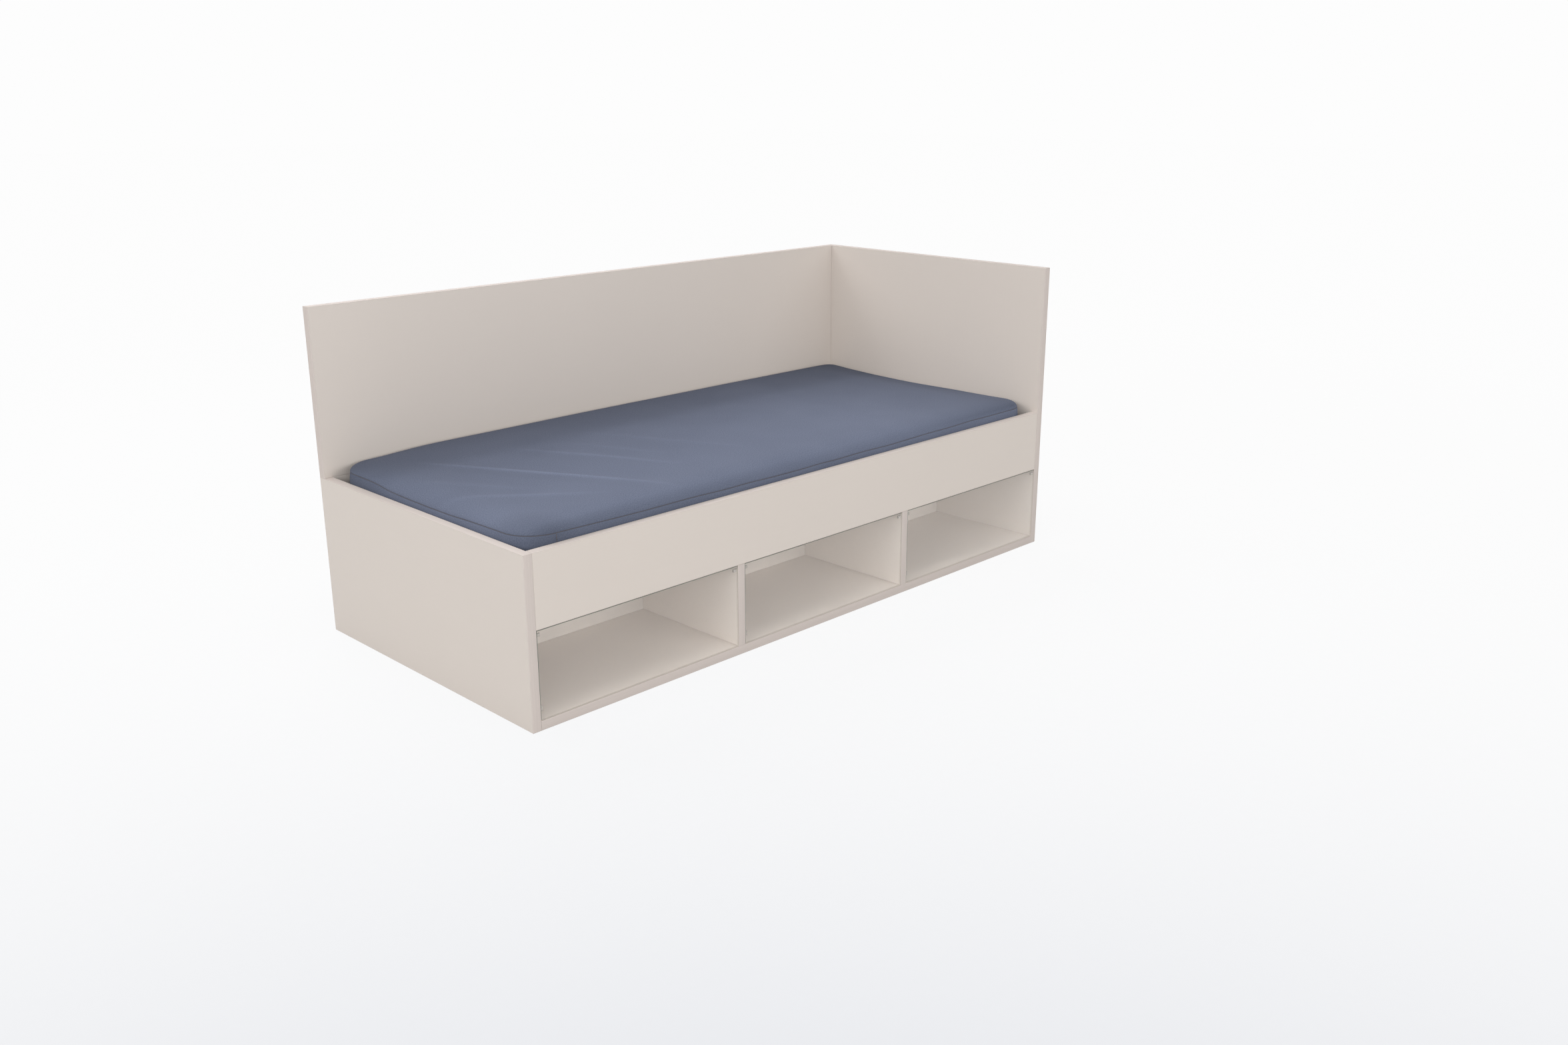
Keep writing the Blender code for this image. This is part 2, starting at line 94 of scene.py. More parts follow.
GREIGE = paint(210, 201, 193)
BAND_GREIGE = paint(203, 193, 187)
CLOTH_BLUE = (0.126, 0.144, 0.200)
THREAD_BROWN = paint(86, 78, 74)
GLASS_EDGE = paint(164, 171, 162)
PINE = paint(222, 194, 150)
BEECH = paint(208, 168, 128)
TAPE_WHITE = paint(224, 221, 212)
ZINC_GREY = (0.56, 0.56, 0.57)
PAPER_WHITE = (0.982, 0.982, 0.982)


# Node trees


class Recipe:
    """One material's node tree, with short names for the nodes that the finishes use."""

    def __init__(self, name: str) -> None:
        """Starts a material with an output and nothing else.

        Args:
            name: the material's name.
        """
        self.material = bpy.data.materials.new(name)
        self.material.use_nodes = True
        self.tree = self.material.node_tree
        self.tree.nodes.clear()
        self.output = self.tree.nodes.new("ShaderNodeOutputMaterial")

    def feed(self, socket: Socket, value: Any) -> None:
        """Links a socket to another, or sets its plain value.

        Args:
            socket: the input to fill.
            value: an output socket, a number, a vector or a colour.
        """
        if isinstance(value, bpy.types.NodeSocket):
            self.tree.links.new(value, socket)
            return
        is_colour = socket.type == "RGBA" and len(value) == 3
        socket.default_value = (*value, 1.0) if is_colour else value

    def add(self, kind: str, inputs: Mapping[Any, Any] | None = None, **settings: Any) -> bpy.types.Node:
        """Adds one node.

        Args:
            kind: Blender's name for the node.
            inputs: values or links by input name or number.
            settings: the node's own properties.

        Returns:
            The node.
        """
        node = self.tree.nodes.new(kind)
        for name, value in settings.items():
            setattr(node, name, value)
        for key, value in (inputs or {}).items():
            self.feed(node.inputs[key], value)
        return node

    def place(self, scale: Sequence[float] = (1, 1, 1), turn: Sequence[float] = (0, 0, 0), on_cloth: bool = False) -> Socket:
        """Gives the place of a point, in metres, turned and then scaled along each axis.

        Args:
            scale: the share kept along each axis.
            turn: the turn about each axis, in radians.
            on_cloth: read the piece's own cloth layout in place of the object's space.

        Returns:
            The vector socket.
        """
        source = self.add("ShaderNodeTexCoord").outputs["UV" if on_cloth else "Object"]
        turned = self.add("ShaderNodeMapping", {"Vector": source, "Rotation": turn}).outputs["Vector"]
        return self.add("ShaderNodeMapping", {"Vector": turned, "Scale": scale}).outputs["Vector"]

    def noise(self, where: Socket, scale: float, detail: float = 2.0, roughness: float = 0.5) -> Socket:
        """Gives a soft random pattern, 0 to 1, with that many swells per metre."""
        inputs = {"Vector": where, "Scale": scale, "Detail": detail, "Roughness": roughness}
        return self.add("ShaderNodeTexNoise", inputs).outputs["Fac"]

    def math(self, operation: str, first: Any, second: Any = 0.0) -> Socket:
        """Gives the result of one sum on two values."""
        return self.add("ShaderNodeMath", {0: first, 1: second}, operation=operation).outputs["Value"]

    def spread(self, value: Any, low: float, high: float, to_low: float = 0.0, to_high: float = 1.0) -> Socket:
        """Stretches the range low to high onto another one, held at its ends."""
        inputs = {"Value": value, "From Min": low, "From Max": high, "To Min": to_low, "To Max": to_high}
        return self.add("ShaderNodeMapRange", inputs).outputs["Result"]

    def total(self, parts: Sequence[tuple[Socket, float]]) -> Socket:
        """Adds patterns that swing about one half, each times its weight, to one that swings about one half.

        Args:
            parts: each pattern and its weight.

        Returns:
            The sum, 0.5 where all are at their middle.
        """
        result: Any = 0.5
        for pattern, weight in parts:
            swing = self.math("MULTIPLY", self.math("SUBTRACT", pattern, 0.5), weight)
            result = self.math("ADD", result, swing)
        return result

    def mixed(self, share: Any, first: Any, second: Any) -> Socket:
        """Gives a colour between two."""
        node = self.add("ShaderNodeMix", {0: share, 6: first, 7: second}, data_type="RGBA")
        return node.outputs[2]

    def ripple(self, value: Socket, pitch: float) -> Socket:
        """Gives a sine of a length, 0 to 1, that repeats once per pitch."""
        angle = self.math("MULTIPLY", value, 2 * np.pi / pitch)
        return self.spread(self.math("SINE", angle), -1.0, 1.0)

    def bell(self, value: Socket, middle: float, width: float) -> Socket:
        """Gives a bell: 1 at the middle, falling with the square of the distance over the width."""
        away = self.math("DIVIDE", self.math("SUBTRACT", value, middle), width)
        return self.math("EXPONENT", self.math("MULTIPLY", self.math("POWER", self.math("ABSOLUTE", away), 2.0), -1.0))

    def bump(self, height: Socket, depth: float, strength: float = 1.0, under: Any = None) -> Socket:
        """Gives a normal that follows a height pattern.

        Args:
            height: the pattern, 0 to 1.
            depth: what 1 stands for, in metres.
            strength: the share of the bump that shows.
            under: a normal that this one is laid over.

        Returns:
            The normal socket.
        """
        inputs = {"Height": height, "Distance": depth, "Strength": strength}
        if under is not None:
            inputs["Normal"] = under
        return self.add("ShaderNodeBump", inputs).outputs["Normal"]

    def finish(self, **values: Any) -> bpy.types.Material:
        """Ends the tree in one Principled shader.

        Args:
            values: its sockets by name, with _ for a space.

        Returns:
            The material.
        """
        inputs = {name.replace("_", " "): value for name, value in values.items()}
        shader = self.add("ShaderNodeBsdfPrincipled", inputs)
        self.feed(self.output.inputs["Surface"], shader.outputs["BSDF"])
        return self.material

    def lets_lamps_through(self, tint: Colour) -> bpy.types.Material:
        """Lets the lamps' light pass straight through the finished shader.

        Args:
            tint: the share of the light that passes.

        Returns:
            The material.
        """
        shader = self.output.inputs["Surface"].links[0].from_socket
        shadow = self.add("ShaderNodeLightPath").outputs["Is Shadow Ray"]
        clear = self.add("ShaderNodeBsdfTransparent", {"Color": tint}).outputs["BSDF"]
        mix = self.add("ShaderNodeMixShader", {0: shadow, 1: shader, 2: clear}).outputs["Shader"]
        self.feed(self.output.inputs["Surface"], mix)
        return self.material


# Finishes


class Finish:
    """A finish that makes its material once and hands the same one out again."""

    made: ClassVar[dict[str, bpy.types.Material]] = {}

    def label(self) -> str:
        """Gives the material's name."""
        return type(self).__name__.lower()

    def build(self) -> bpy.types.Material:
        """Makes the material."""
        raise NotImplementedError

    def material(self) -> bpy.types.Material:
        """Gives the material, made at its first use."""
        if self.label() not in Finish.made:
            Finish.made[self.label()] = self.build()
        return Finish.made[self.label()]


def stretch(along: Axis, slow: float, fast: float) -> tuple[float, float, float]:
    """Gives the scales of a pattern that is long in one direction and narrow in the other two."""
    return tuple(slow if axis is along else fast for axis in Axis)


@dataclass(frozen=True)
class Laminate(Finish):
    """Satin printed laminate: one tone with faint lengthwise streaks, clouds and specks."""

    grain: Axis = Axis.X
    colour: Colour = GREIGE
    contrast: float = 0.014
    name: str = "greige_laminate"

    def label(self) -> str:
        """Gives the material's name."""
        return f"{self.name}_along_{self.grain.name.lower()}"

    def build(self) -> bpy.types.Material:
        """Makes the material."""
        recipe = Recipe(self.label())
        streaks = recipe.noise(recipe.place(stretch(self.grain, 3.0, 260.0)), 1.0, 3.0)
        fibres = recipe.noise(recipe.place(stretch(self.grain, 14.0, 1100.0)), 1.0, 2.0)
        clouds = recipe.noise(recipe.place(), 2.3, 2.0)
        specks = recipe.noise(recipe.place(), 1300.0, 1.0)
        tone = recipe.total([(streaks, 0.4), (fibres, 0.5), (clouds, 1.0), (specks, 0.6)])
        dark = shade(self.colour, 1 - self.contrast)
        light = shade(self.colour, 1 + self.contrast)
        gloss = recipe.spread(recipe.total([(clouds, 0.6), (specks, 0.8)]), 0.0, 1.0, 0.42, 0.54)
        grained = recipe.bump(fibres, 0.03 * MILLIMETRE, 0.35)
        normal = recipe.bump(specks, 0.02 * MILLIMETRE, 0.4, grained)
        return recipe.finish(Base_Color=recipe.mixed(tone, dark, light), Roughness=gloss, Normal=normal)


@dataclass(frozen=True)
class EdgeStrip(Finish):
    """The laminate's edge band: a little pinker, with fine lines along its length."""

    along: Axis = Axis.X
    colour: Colour = BAND_GREIGE

    def label(self) -> str:
        """Gives the material's name."""
        return f"edge_band_along_{self.along.name.lower()}"

    def build(self) -> bpy.types.Material:
        """Makes the material."""
        recipe = Recipe(self.label())
        lines = recipe.noise(recipe.place(stretch(self.along, 5.0, 900.0)), 1.0, 3.0, 0.6)
        broad = recipe.noise(recipe.place(stretch(self.along, 1.5, 180.0)), 1.0, 2.0)
        specks = recipe.noise(recipe.place(), 1500.0, 1.0)
        tone = recipe.total([(lines, 1.1), (broad, 0.7), (specks, 0.3)])
        gloss = recipe.spread(lines, 0.2, 0.8, 0.54, 0.68)
        normal = recipe.bump(lines, 0.04 * MILLIMETRE, 0.4)
        colour = recipe.mixed(tone, shade(self.colour, 0.94), shade(self.colour, 1.06))
        return recipe.finish(Base_Color=colour, Roughness=gloss, Normal=normal, Specular_IOR_Level=0.12)


@dataclass(frozen=True)
class Crease:
    """A soft ridge pressed into the mattress top: from one point to another, its height, half width and the strength of
    its painted highlight and shade.
    """

    start: tuple[float, float]
    end: tuple[float, float]
    height: float
    width: float = 6.0 * MILLIMETRE
    rubbed: float = 0.2

    def rise(self, x: np.ndarray, y: np.ndarray) -> np.ndarray:
        """Gives the ridge's height at each point.

        The height is a bell across the line, with a wide shallow dip on its far side, times a
        half sine along the line, so that it fades out at both ends.

        Args:
            x, y: the points.

        Returns:
            The height in metres.
        """
        start, end = np.array(self.start), np.array(self.end)
        length = np.hypot(*(end - start))
        way = (end - start) / length
        along = ((x - start[0]) * way[0] + (y - start[1]) * way[1]) / length
        across = (y - start[1]) * way[0] - (x - start[0]) * way[1]
        fade = np.sin(np.pi * np.clip(along, 0, 1)) ** 0.8
        bell = np.exp(-np.sqrt(1 + (across / self.width) ** 2) * 1.6 + 1.6)
        dip = np.exp(-(((across - 4.5 * self.width) / (3.5 * self.width)) ** 2))
        swell = np.exp(-(((across + 6.0 * self.width) / (7.0 * self.width)) ** 2))
        return self.height * fade * (bell - 0.15 * dip + 0.30 * swell)

    def tone(self, recipe: Recipe) -> Socket:
        """Gives the painted highlight along the ridge's crest, and the painted shade beside its foot.

        Two bells across the line, a narrow pale one on the crest and a wide dark one on the near
        side, times a half sine along the line.

        Args:
            recipe: the cloth's node tree.

        Returns:
            The share to add to the cloth's tone.
        """
        start, end = np.array(self.start), np.array(self.end)
        length = float(np.hypot(*(end - start)))
        angle = float(np.arctan2(*(end - start)[::-1]))
        source = recipe.add("ShaderNodeTexCoord").outputs["Object"]
        inputs = {"Vector": source, "Location": (*self.start, 0.0), "Rotation": (0.0, 0.0, angle)}
        own = recipe.add("ShaderNodeMapping", inputs, vector_type="TEXTURE").outputs["Vector"]
        parts = recipe.add("ShaderNodeSeparateXYZ", {"Vector": own}).outputs
        fade = recipe.math("SINE", recipe.spread(parts["X"], 0.0, length, 0.0, np.pi))
        # Painted highlight on the crest, painted shade beside the foot.
        crest = recipe.bell(parts["Y"], 0.3 * self.width, 1.25 * self.width)
        foot = recipe.bell(parts["Y"], -4.5 * self.width, 3.0 * self.width)
        shade_of_foot = recipe.math("MULTIPLY", foot, -0.15)
        return recipe.math("MULTIPLY", recipe.math("ADD", crest, shade_of_foot), recipe.math("MULTIPLY", fade, self.rubbed))


CREASES = (
    Crease((-0.868, 0.280), (-0.492, -0.416), 0.0034, 0.0080, 0.29),
    Crease((-1.020, -0.060), (-0.660, -0.350), 0.0024, 0.0100, 0.13),
    Crease((-0.600, 0.230), (-0.345, -0.277), 0.0022, 0.0085, 0.15),
    Crease((-0.975, 0.120), (-0.760, -0.210), 0.0018, 0.0120, 0.05),
    Crease((-0.330, 0.220), (-0.110, -0.260), 0.0015, 0.0100, 0.05),
    Crease((-0.440, 0.150), (-0.300, -0.180), 0.0013, 0.0090, 0.05),
)


@dataclass(frozen=True)
class Twill(Finish):
    """Blue-grey twill: diagonal ribs, mixed yarns, a little fuzz, laid out on the cloth itself.

    It carries painted light and shade. The top darkens from the front edge to the rear one, at the right end, on the
    front shoulder and round the front left corner. Each crease has a painted highlight on its crest and painted shade
    beside its foot.
    """

    rib_pitch: float = 1.3 * MILLIMETRE
    yarn_pitch: float = 0.65 * MILLIMETRE
    colour: Colour = CLOTH_BLUE

    def worn(self, recipe: Recipe, colour: Socket) -> Socket:
        """Lays painted shade and painted highlights over a colour: front to rear, the right end, the front shoulder,
        the front left corner and the creases.
        """
        source = recipe.add("ShaderNodeTexCoord").outputs["Object"]
        place = recipe.add("ShaderNodeSeparateXYZ", {"Vector": source}).outputs
        # Painted light and shade: the top is paler towards the front edge and darker towards the rear one.
        middle = recipe.spread(place["Y"], -0.25, 0.25, 1.08, 0.95)
        rear = recipe.spread(place["Y"], 0.16, 0.447, 1.0, 0.66)
        share: Any = recipe.math("MULTIPLY", middle, rear)
        # Painted shade: the top of the right end darkens towards the right panel.
        on_top = recipe.spread(place["Z"], 0.469, 0.482)
        right_end = recipe.math("MULTIPLY", recipe.spread(place["X"], 0.40, 0.90, 0.0, -0.28), on_top)
        # Painted shade: the front shoulder darkens, more towards the left end.
        to_left = recipe.spread(place["X"], -1.0, 0.5, -0.24, -0.05)
        shoulder = recipe.math("MULTIPLY", recipe.spread(place["Y"], -0.447, -0.41, 1.0, 0.0), to_left)
        # Painted shade: darker round the front left corner.
        inputs = {0: source, 1: (-1.0, -0.447, 0.47)}
        from_corner = recipe.add("ShaderNodeVectorMath", inputs, operation="DISTANCE").outputs["Value"]
        corner = recipe.spread(from_corner, 0.03, 0.16, -0.22, 0.0)
        drifts: Any = 1.0
        # The creases add their painted highlight and painted shade.
        for drift in (right_end, shoulder, corner, *(crease.tone(recipe) for crease in CREASES)):
            drifts = recipe.math("ADD", drifts, drift)
        share = recipe.math("MULTIPLY", share, drifts)
        return recipe.add("ShaderNodeVectorMath", {0: colour, "Scale": share}, operation="SCALE").outputs["Vector"]

    def build(self) -> bpy.types.Material:
        """Makes the material."""
        recipe = Recipe("blue_grey_twill")
        diagonal = recipe.place(turn=(0, 0, np.radians(58)), on_cloth=True)
        across = recipe.add("ShaderNodeSeparateXYZ", {"Vector": diagonal}).outputs["X"]
        ribs = recipe.ripple(across, self.rib_pitch)
        square = recipe.add("ShaderNodeSeparateXYZ", {"Vector": recipe.place(on_cloth=True)})
        yarns = recipe.ripple(square.outputs["X"], self.yarn_pitch)
        warp = recipe.noise(recipe.place((240, 900, 1), on_cloth=True), 1.0, 2.0, 0.6)
        weft = recipe.noise(recipe.place((900, 240, 1), on_cloth=True), 1.0, 2.0, 0.6)
        fuzz = recipe.noise(recipe.place(on_cloth=True), 700.0, 3.0, 0.7)
        slubs = recipe.noise(recipe.place(on_cloth=True), 330.0, 2.0, 0.6)
        clouds = recipe.noise(recipe.place(on_cloth=True), 5.0, 2.0)
        parts = [(ribs, 0.22), (yarns, 0.1), (warp, 0.6), (weft, 0.5), (fuzz, 0.5), (slubs, 1.3), (clouds, 0.25)]
        tone = recipe.total(parts)
        dark = tuple(part * share for part, share in zip(self.colour, (0.66, 0.67, 0.71)))
        light = tuple(part * share for part, share in zip(self.colour, (1.34, 1.33, 1.29)))
        rough = recipe.spread(recipe.total([(fuzz, 1.0), (ribs, 0.4)]), 0.0, 1.0, 0.82, 0.98)
        ribbed = recipe.bump(ribs, 0.16 * MILLIMETRE, 0.5)
        normal = recipe.bump(recipe.total([(warp, 1.0), (fuzz, 1.0)]), 0.25 * MILLIMETRE, 0.45, ribbed)
        return recipe.finish(
            Base_Color=self.worn(recipe, recipe.mixed(tone, dark, light)),
            Roughness=rough,
            Normal=normal,
            Specular_IOR_Level=0.08,
            Sheen_Weight=0.03,
            Sheen_Roughness=0.5,
            Sheen_Tint=(0.80, 0.84, 1.0),
        )


@dataclass(frozen=True)
class Thread(Finish):
    """Dark sewing thread, twisted from plies."""

    colour: Colour = THREAD_BROWN

    def build(self) -> bpy.types.Material:
        """Makes the material."""
        recipe = Recipe("brown_thread")
        plies = recipe.noise(recipe.place(), 2600.0, 2.0)
        colour = recipe.mixed(plies, shade(self.colour, 0.7), shade(self.colour, 1.4))
        gloss = recipe.spread(plies, 0.2, 0.8, 0.55, 0.75)
        normal = recipe.bump(plies, 0.1 * MILLIMETRE, 0.6)
        return recipe.finish(Base_Color=colour, Roughness=gloss, Normal=normal)


@dataclass(frozen=True)
class PaneGlass(Finish):
    """Clear float glass with a breath of green, that lets the lamps through."""

    tint: Colour = (0.984, 0.986, 0.984)
    let_through: float = 1.01

    def build(self) -> bpy.types.Material:
        """Makes the material."""
        recipe = Recipe("clear_float_glass")
        haze = recipe.noise(recipe.place(), 3.0, 2.0)
        grime = recipe.noise(recipe.place(), 60.0, 3.0)
        colour = recipe.mixed(haze, shade(self.tint, 0.985), self.tint)
        gloss = recipe.spread(grime, 0.3, 0.8, 0.0, 0.012)
        normal = recipe.bump(haze, 0.02 * MILLIMETRE, 0.2)
        recipe.finish(Base_Color=colour, Roughness=gloss, IOR=1.52, Transmission_Weight=1.0, Normal=normal)
        return recipe.lets_lamps_through(shade(self.tint, self.let_through))


@dataclass(frozen=True)
class GroundEdge(Finish):
    """The glass's ground edge: dark grey-green from outside; a painted light makes its faces seen through the pane
    pale, and the edge paler towards its foot.
    """

    colour: Colour = GLASS_EDGE
    painted_pale_inside: Colour = paint(226, 217, 208)
    foot_reach: tuple[float, float] = (0.03, 0.19)
    painted_foot_light: float = 0.45
    let_through: float = 1.0

    def build(self) -> bpy.types.Material:
        """Makes the material."""
        recipe = Recipe("ground_glass_edge")
        scratches = recipe.noise(recipe.place(), 2200.0, 2.0)
        tide = recipe.noise(recipe.place(), 9.0, 2.0)
        tone = recipe.total([(scratches, 0.6), (tide, 0.8)])
        ground = recipe.mixed(tone, shade(self.colour, 0.75), shade(self.colour, 1.3))
        source = recipe.add("ShaderNodeTexCoord").outputs["Object"]
        height = recipe.add("ShaderNodeSeparateXYZ", {"Vector": source}).outputs["Z"]
        # Painted light: the edge grows paler towards its foot.
        low = recipe.spread(height, *self.foot_reach, self.painted_foot_light, 0.0)
        depth = recipe.add("ShaderNodeSeparateXYZ", {"Vector": recipe.place(on_cloth=True)}).outputs["X"]
        # Painted light: the faces seen through the pane are pale.
        colour = recipe.mixed(recipe.math("MAXIMUM", depth, low), ground, self.painted_pale_inside)
        gloss = recipe.spread(scratches, 0.2, 0.8, 0.14, 0.32)
        normal = recipe.bump(scratches, 0.01 * MILLIMETRE, 0.3)
        recipe.finish(Base_Color=colour, Roughness=gloss, IOR=1.45, Transmission_Weight=0.2, Normal=normal)
        return recipe.lets_lamps_through(shade((1.0, 1.0, 1.0), self.let_through))


@dataclass(frozen=True)
class Timber(Finish):
    """Plain-sawn wood: growth rings drawn out along the grain, and fine pores."""

    name: str = "planed_pine"
    grain: Axis = Axis.Y
    colour: Colour = PINE
    ring_count: float = 15.0

    def label(self) -> str:
        """Gives the material's name."""
        return f"{self.name}_along_{self.grain.name.lower()}"

    def build(self) -> bpy.types.Material:
        """Makes the material."""
        recipe = Recipe(self.label())
        heart = recipe.noise(recipe.place(stretch(self.grain, 0.9, 14.0)), 1.0, 1.0)
        rings = recipe.math("FRACT", recipe.math("MULTIPLY", heart, self.ring_count))
        late = recipe.math("POWER", rings, 3.0)
        pores = recipe.noise(recipe.place(stretch(self.grain, 18.0, 900.0)), 1.0, 2.0)
        clouds = recipe.noise(recipe.place(stretch(self.grain, 1.5, 9.0)), 1.0, 2.0)
        wood = recipe.mixed(late, self.colour, tuple(part * share for part, share in zip(self.colour, (0.74, 0.62, 0.50))))
        streaked = recipe.mixed(recipe.math("MULTIPLY", pores, 0.28), wood, shade(self.colour, 0.6))
        toned = recipe.mixed(recipe.math("MULTIPLY", clouds, 0.3), streaked, shade(self.colour, 1.12))
        gloss = recipe.spread(recipe.total([(pores, 0.8), (late, 0.4)]), 0.0, 1.0, 0.5, 0.72)
        normal = recipe.bump(recipe.total([(pores, 1.0), (late, 0.3)]), 0.08 * MILLIMETRE, 0.5)
        return recipe.finish(Base_Color=toned, Roughness=gloss, Normal=normal)


@dataclass(frozen=True)
class Webbing(Finish):
    """Woven tape: ribs across its length and yarns along it."""

    colour: Colour = TAPE_WHITE

    def build(self) -> bpy.types.Material:
        """Makes the material."""
        recipe = Recipe("woven_tape")
        parts = recipe.add("ShaderNodeSeparateXYZ", {"Vector": recipe.place()})
        ribs = recipe.ripple(parts.outputs["X"], 1.6 * MILLIMETRE)
        yarns = recipe.ripple(parts.outputs["Y"], 0.9 * MILLIMETRE)
        weave = recipe.math("MULTIPLY", ribs, yarns)
        fuzz = recipe.noise(recipe.place(), 900.0, 3.0)
        tone = recipe.total([(weave, 0.5), (fuzz, 0.8)])
        colour = recipe.mixed(tone, shade(self.colour, 0.78), self.colour)
        gloss = recipe.spread(fuzz, 0.2, 0.8, 0.75, 0.92)
        normal = recipe.bump(weave, 0.3 * MILLIMETRE, 0.7)
        return recipe.finish(Base_Color=colour, Roughness=gloss, Normal=normal)


@dataclass(frozen=True)
class Cast(Finish):
    """A cast, painted or moulded finish: even colour with clouds, and a fine skin that the bump carries."""

    name: str = "cast_zinc"
    colour: Colour = ZINC_GREY
    metallic: float = 1.0
    gloss_low: float = 0.28
    gloss_high: float = 0.46
    skin_scale: float = 1200.0
    skin_depth: float = 0.03 * MILLIMETRE

    def label(self) -> str:
        """Gives the material's name."""
        return self.name

    def build(self) -> bpy.types.Material:
        """Makes the material."""
        recipe = Recipe(self.name)
        skin = recipe.noise(recipe.place(), self.skin_scale, 3.0)
        clouds = recipe.noise(recipe.place(), 70.0, 2.0)
        tone = recipe.total([(skin, 0.6), (clouds, 0.8)])
        colour = recipe.mixed(tone, shade(self.colour, 0.86), shade(self.colour, 1.1))
        gloss = recipe.spread(tone, 0.1, 0.9, self.gloss_low, self.gloss_high)
        normal = recipe.bump(skin, self.skin_depth, 0.5)
        return recipe.finish(Base_Color=colour, Roughness=gloss, Metallic=self.metallic, Normal=normal)


ZINC = Cast()
# Greige paint and plastic, partly painted shade: darkened so that the fittings behind the glass, lit full on by the
# lamps, take the tone of the shaded boards round them.
PAINTED_METAL = Cast("greige_painted_metal", paint(154, 147, 140), 0.0, 0.50, 0.64, 1500.0)
MOULDED_PLASTIC = Cast("greige_moulded_plastic", paint(160, 153, 146), 0.0, 0.60, 0.74, 2400.0)


# Surfaces


@dataclass
class Patch:
    """A piece of surface: points in metres, four-cornered faces by point number, and each point's place on the cloth."""

    points: np.ndarray
    faces: np.ndarray
    cloth: np.ndarray


def grid_patch(points: np.ndarray, cloth: np.ndarray | None = None, flip: bool = False) -> Patch:
    """Joins a grid of points into faces: each point with its neighbours one column and one row on.

    Args:
        points: rows by columns by 3.
        cloth: rows by columns by 2, or None where the finish doesn't read it.
        flip: turn the faces over.

    Returns:
        The patch.
    """
    rows, columns = points.shape[:2]
    numbers = np.arange(rows * columns).reshape(rows, columns)
    corners = (numbers[:-1, :-1], numbers[:-1, 1:], numbers[1:, 1:], numbers[1:, :-1])
    faces = np.stack(corners, axis=-1).reshape(-1, 4)
    if flip:
        faces = faces[:, ::-1]
    layout = points[..., :2] if cloth is None else cloth
    return Patch(points.reshape(-1, 3), faces, layout.reshape(-1, 2))


def joined(patches: Sequence[Patch]) -> Patch:
    """Puts patches into one, with their point numbers moved on."""
    starts = np.cumsum([0] + [len(patch.points) for patch in patches[:-1]])
    faces = np.concatenate([patch.faces + start for patch, start in zip(patches, starts)])
    points = np.concatenate([patch.points for patch in patches])
    return Patch(points, faces, np.concatenate([patch.cloth for patch in patches]))


def repeated(patch: Patch, places: np.ndarray, frames: np.ndarray) -> Patch:
    """Copies a small patch to many places: each point is place + frame times point.

    Args:
        patch: the shape round its own origin.
        places: count by 3.
        frames: count by 3 by 3, the axes of each copy in columns.

    Returns:
        All copies as one patch.
    """
    count, size = len(places), len(patch.points)
    points = places[:, None, :] + np.einsum("nij,pj->npi", frames, patch.points)
    faces = patch.faces[None] + np.arange(count)[:, None, None] * size
    return Patch(points.reshape(-1, 3), faces.reshape(-1, 4), np.tile(patch.cloth, (count, 1)))


@dataclass
class Piece:
    """One object of the scene: a patch made a mesh, with its finish, its slot and the body that it rides."""

    name: str
    patch: Patch
    finish: Finish
    slot: str
    body: Body = Body.BED
    smooth_angle: float = 40.0

    def build(self) -> bpy.types.Object:
        """Makes the mesh, closes its seams, turns its faces outwards and dresses it.

        Returns:
            The object, at the origin, with its place in its mesh.
        """
        mesh = bpy.data.meshes.new(self.name)
        mesh.from_pydata(self.patch.points, [], self.patch.faces)
        layout = mesh.uv_layers.new(name="cloth")
        corners = np.empty(len(mesh.loops), dtype=np.int32)
        mesh.loops.foreach_get("vertex_index", corners)
        layout.data.foreach_set("uv", self.patch.cloth[corners].astype(np.float32).ravel())
        self.close(mesh)
        mesh.shade_smooth()
        mesh.set_sharp_from_angle(angle=np.radians(self.smooth_angle))
        mesh.materials.append(self.finish.material())
        made = bpy.data.objects.new(self.name, mesh)
        bpy.context.scene.collection.objects.link(made)
        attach(made, self.body.value)
        LOG.info("%s: %d faces on %s", self.name, len(mesh.polygons), self.body.value)
        return made

    def close(self, mesh: bpy.types.Mesh) -> None:
        """Merges points that meet, drops faces that closed up, and turns the faces outwards.

        Args:
            mesh: the mesh to mend.
        """
        work = bmesh.new()
        work.from_mesh(mesh)
        bmesh.ops.remove_doubles(work, verts=work.verts, dist=0.000005)
        bmesh.ops.dissolve_degenerate(work, dist=0.000001, edges=work.edges)
        bmesh.ops.recalc_face_normals(work, faces=work.faces)
        work.to_mesh(mesh)
        work.free()


# Boards


class Side(Enum):
    """The side of a board that an edge band is laid on."""

    FRONT = (Axis.Y, -1)
    REAR = (Axis.Y, 1)
    TOP = (Axis.Z, 1)
    FOOT = (Axis.Z, -1)
    LEFT = (Axis.X, -1)
    RIGHT = (Axis.X, 1)


@dataclass(frozen=True)
class EdgeRun:
    """One visible edge of one board: the side it faces and the way that it runs."""

    board: str
    side: Side
    along: Axis
    proud: float = 0.12 * MILLIMETRE


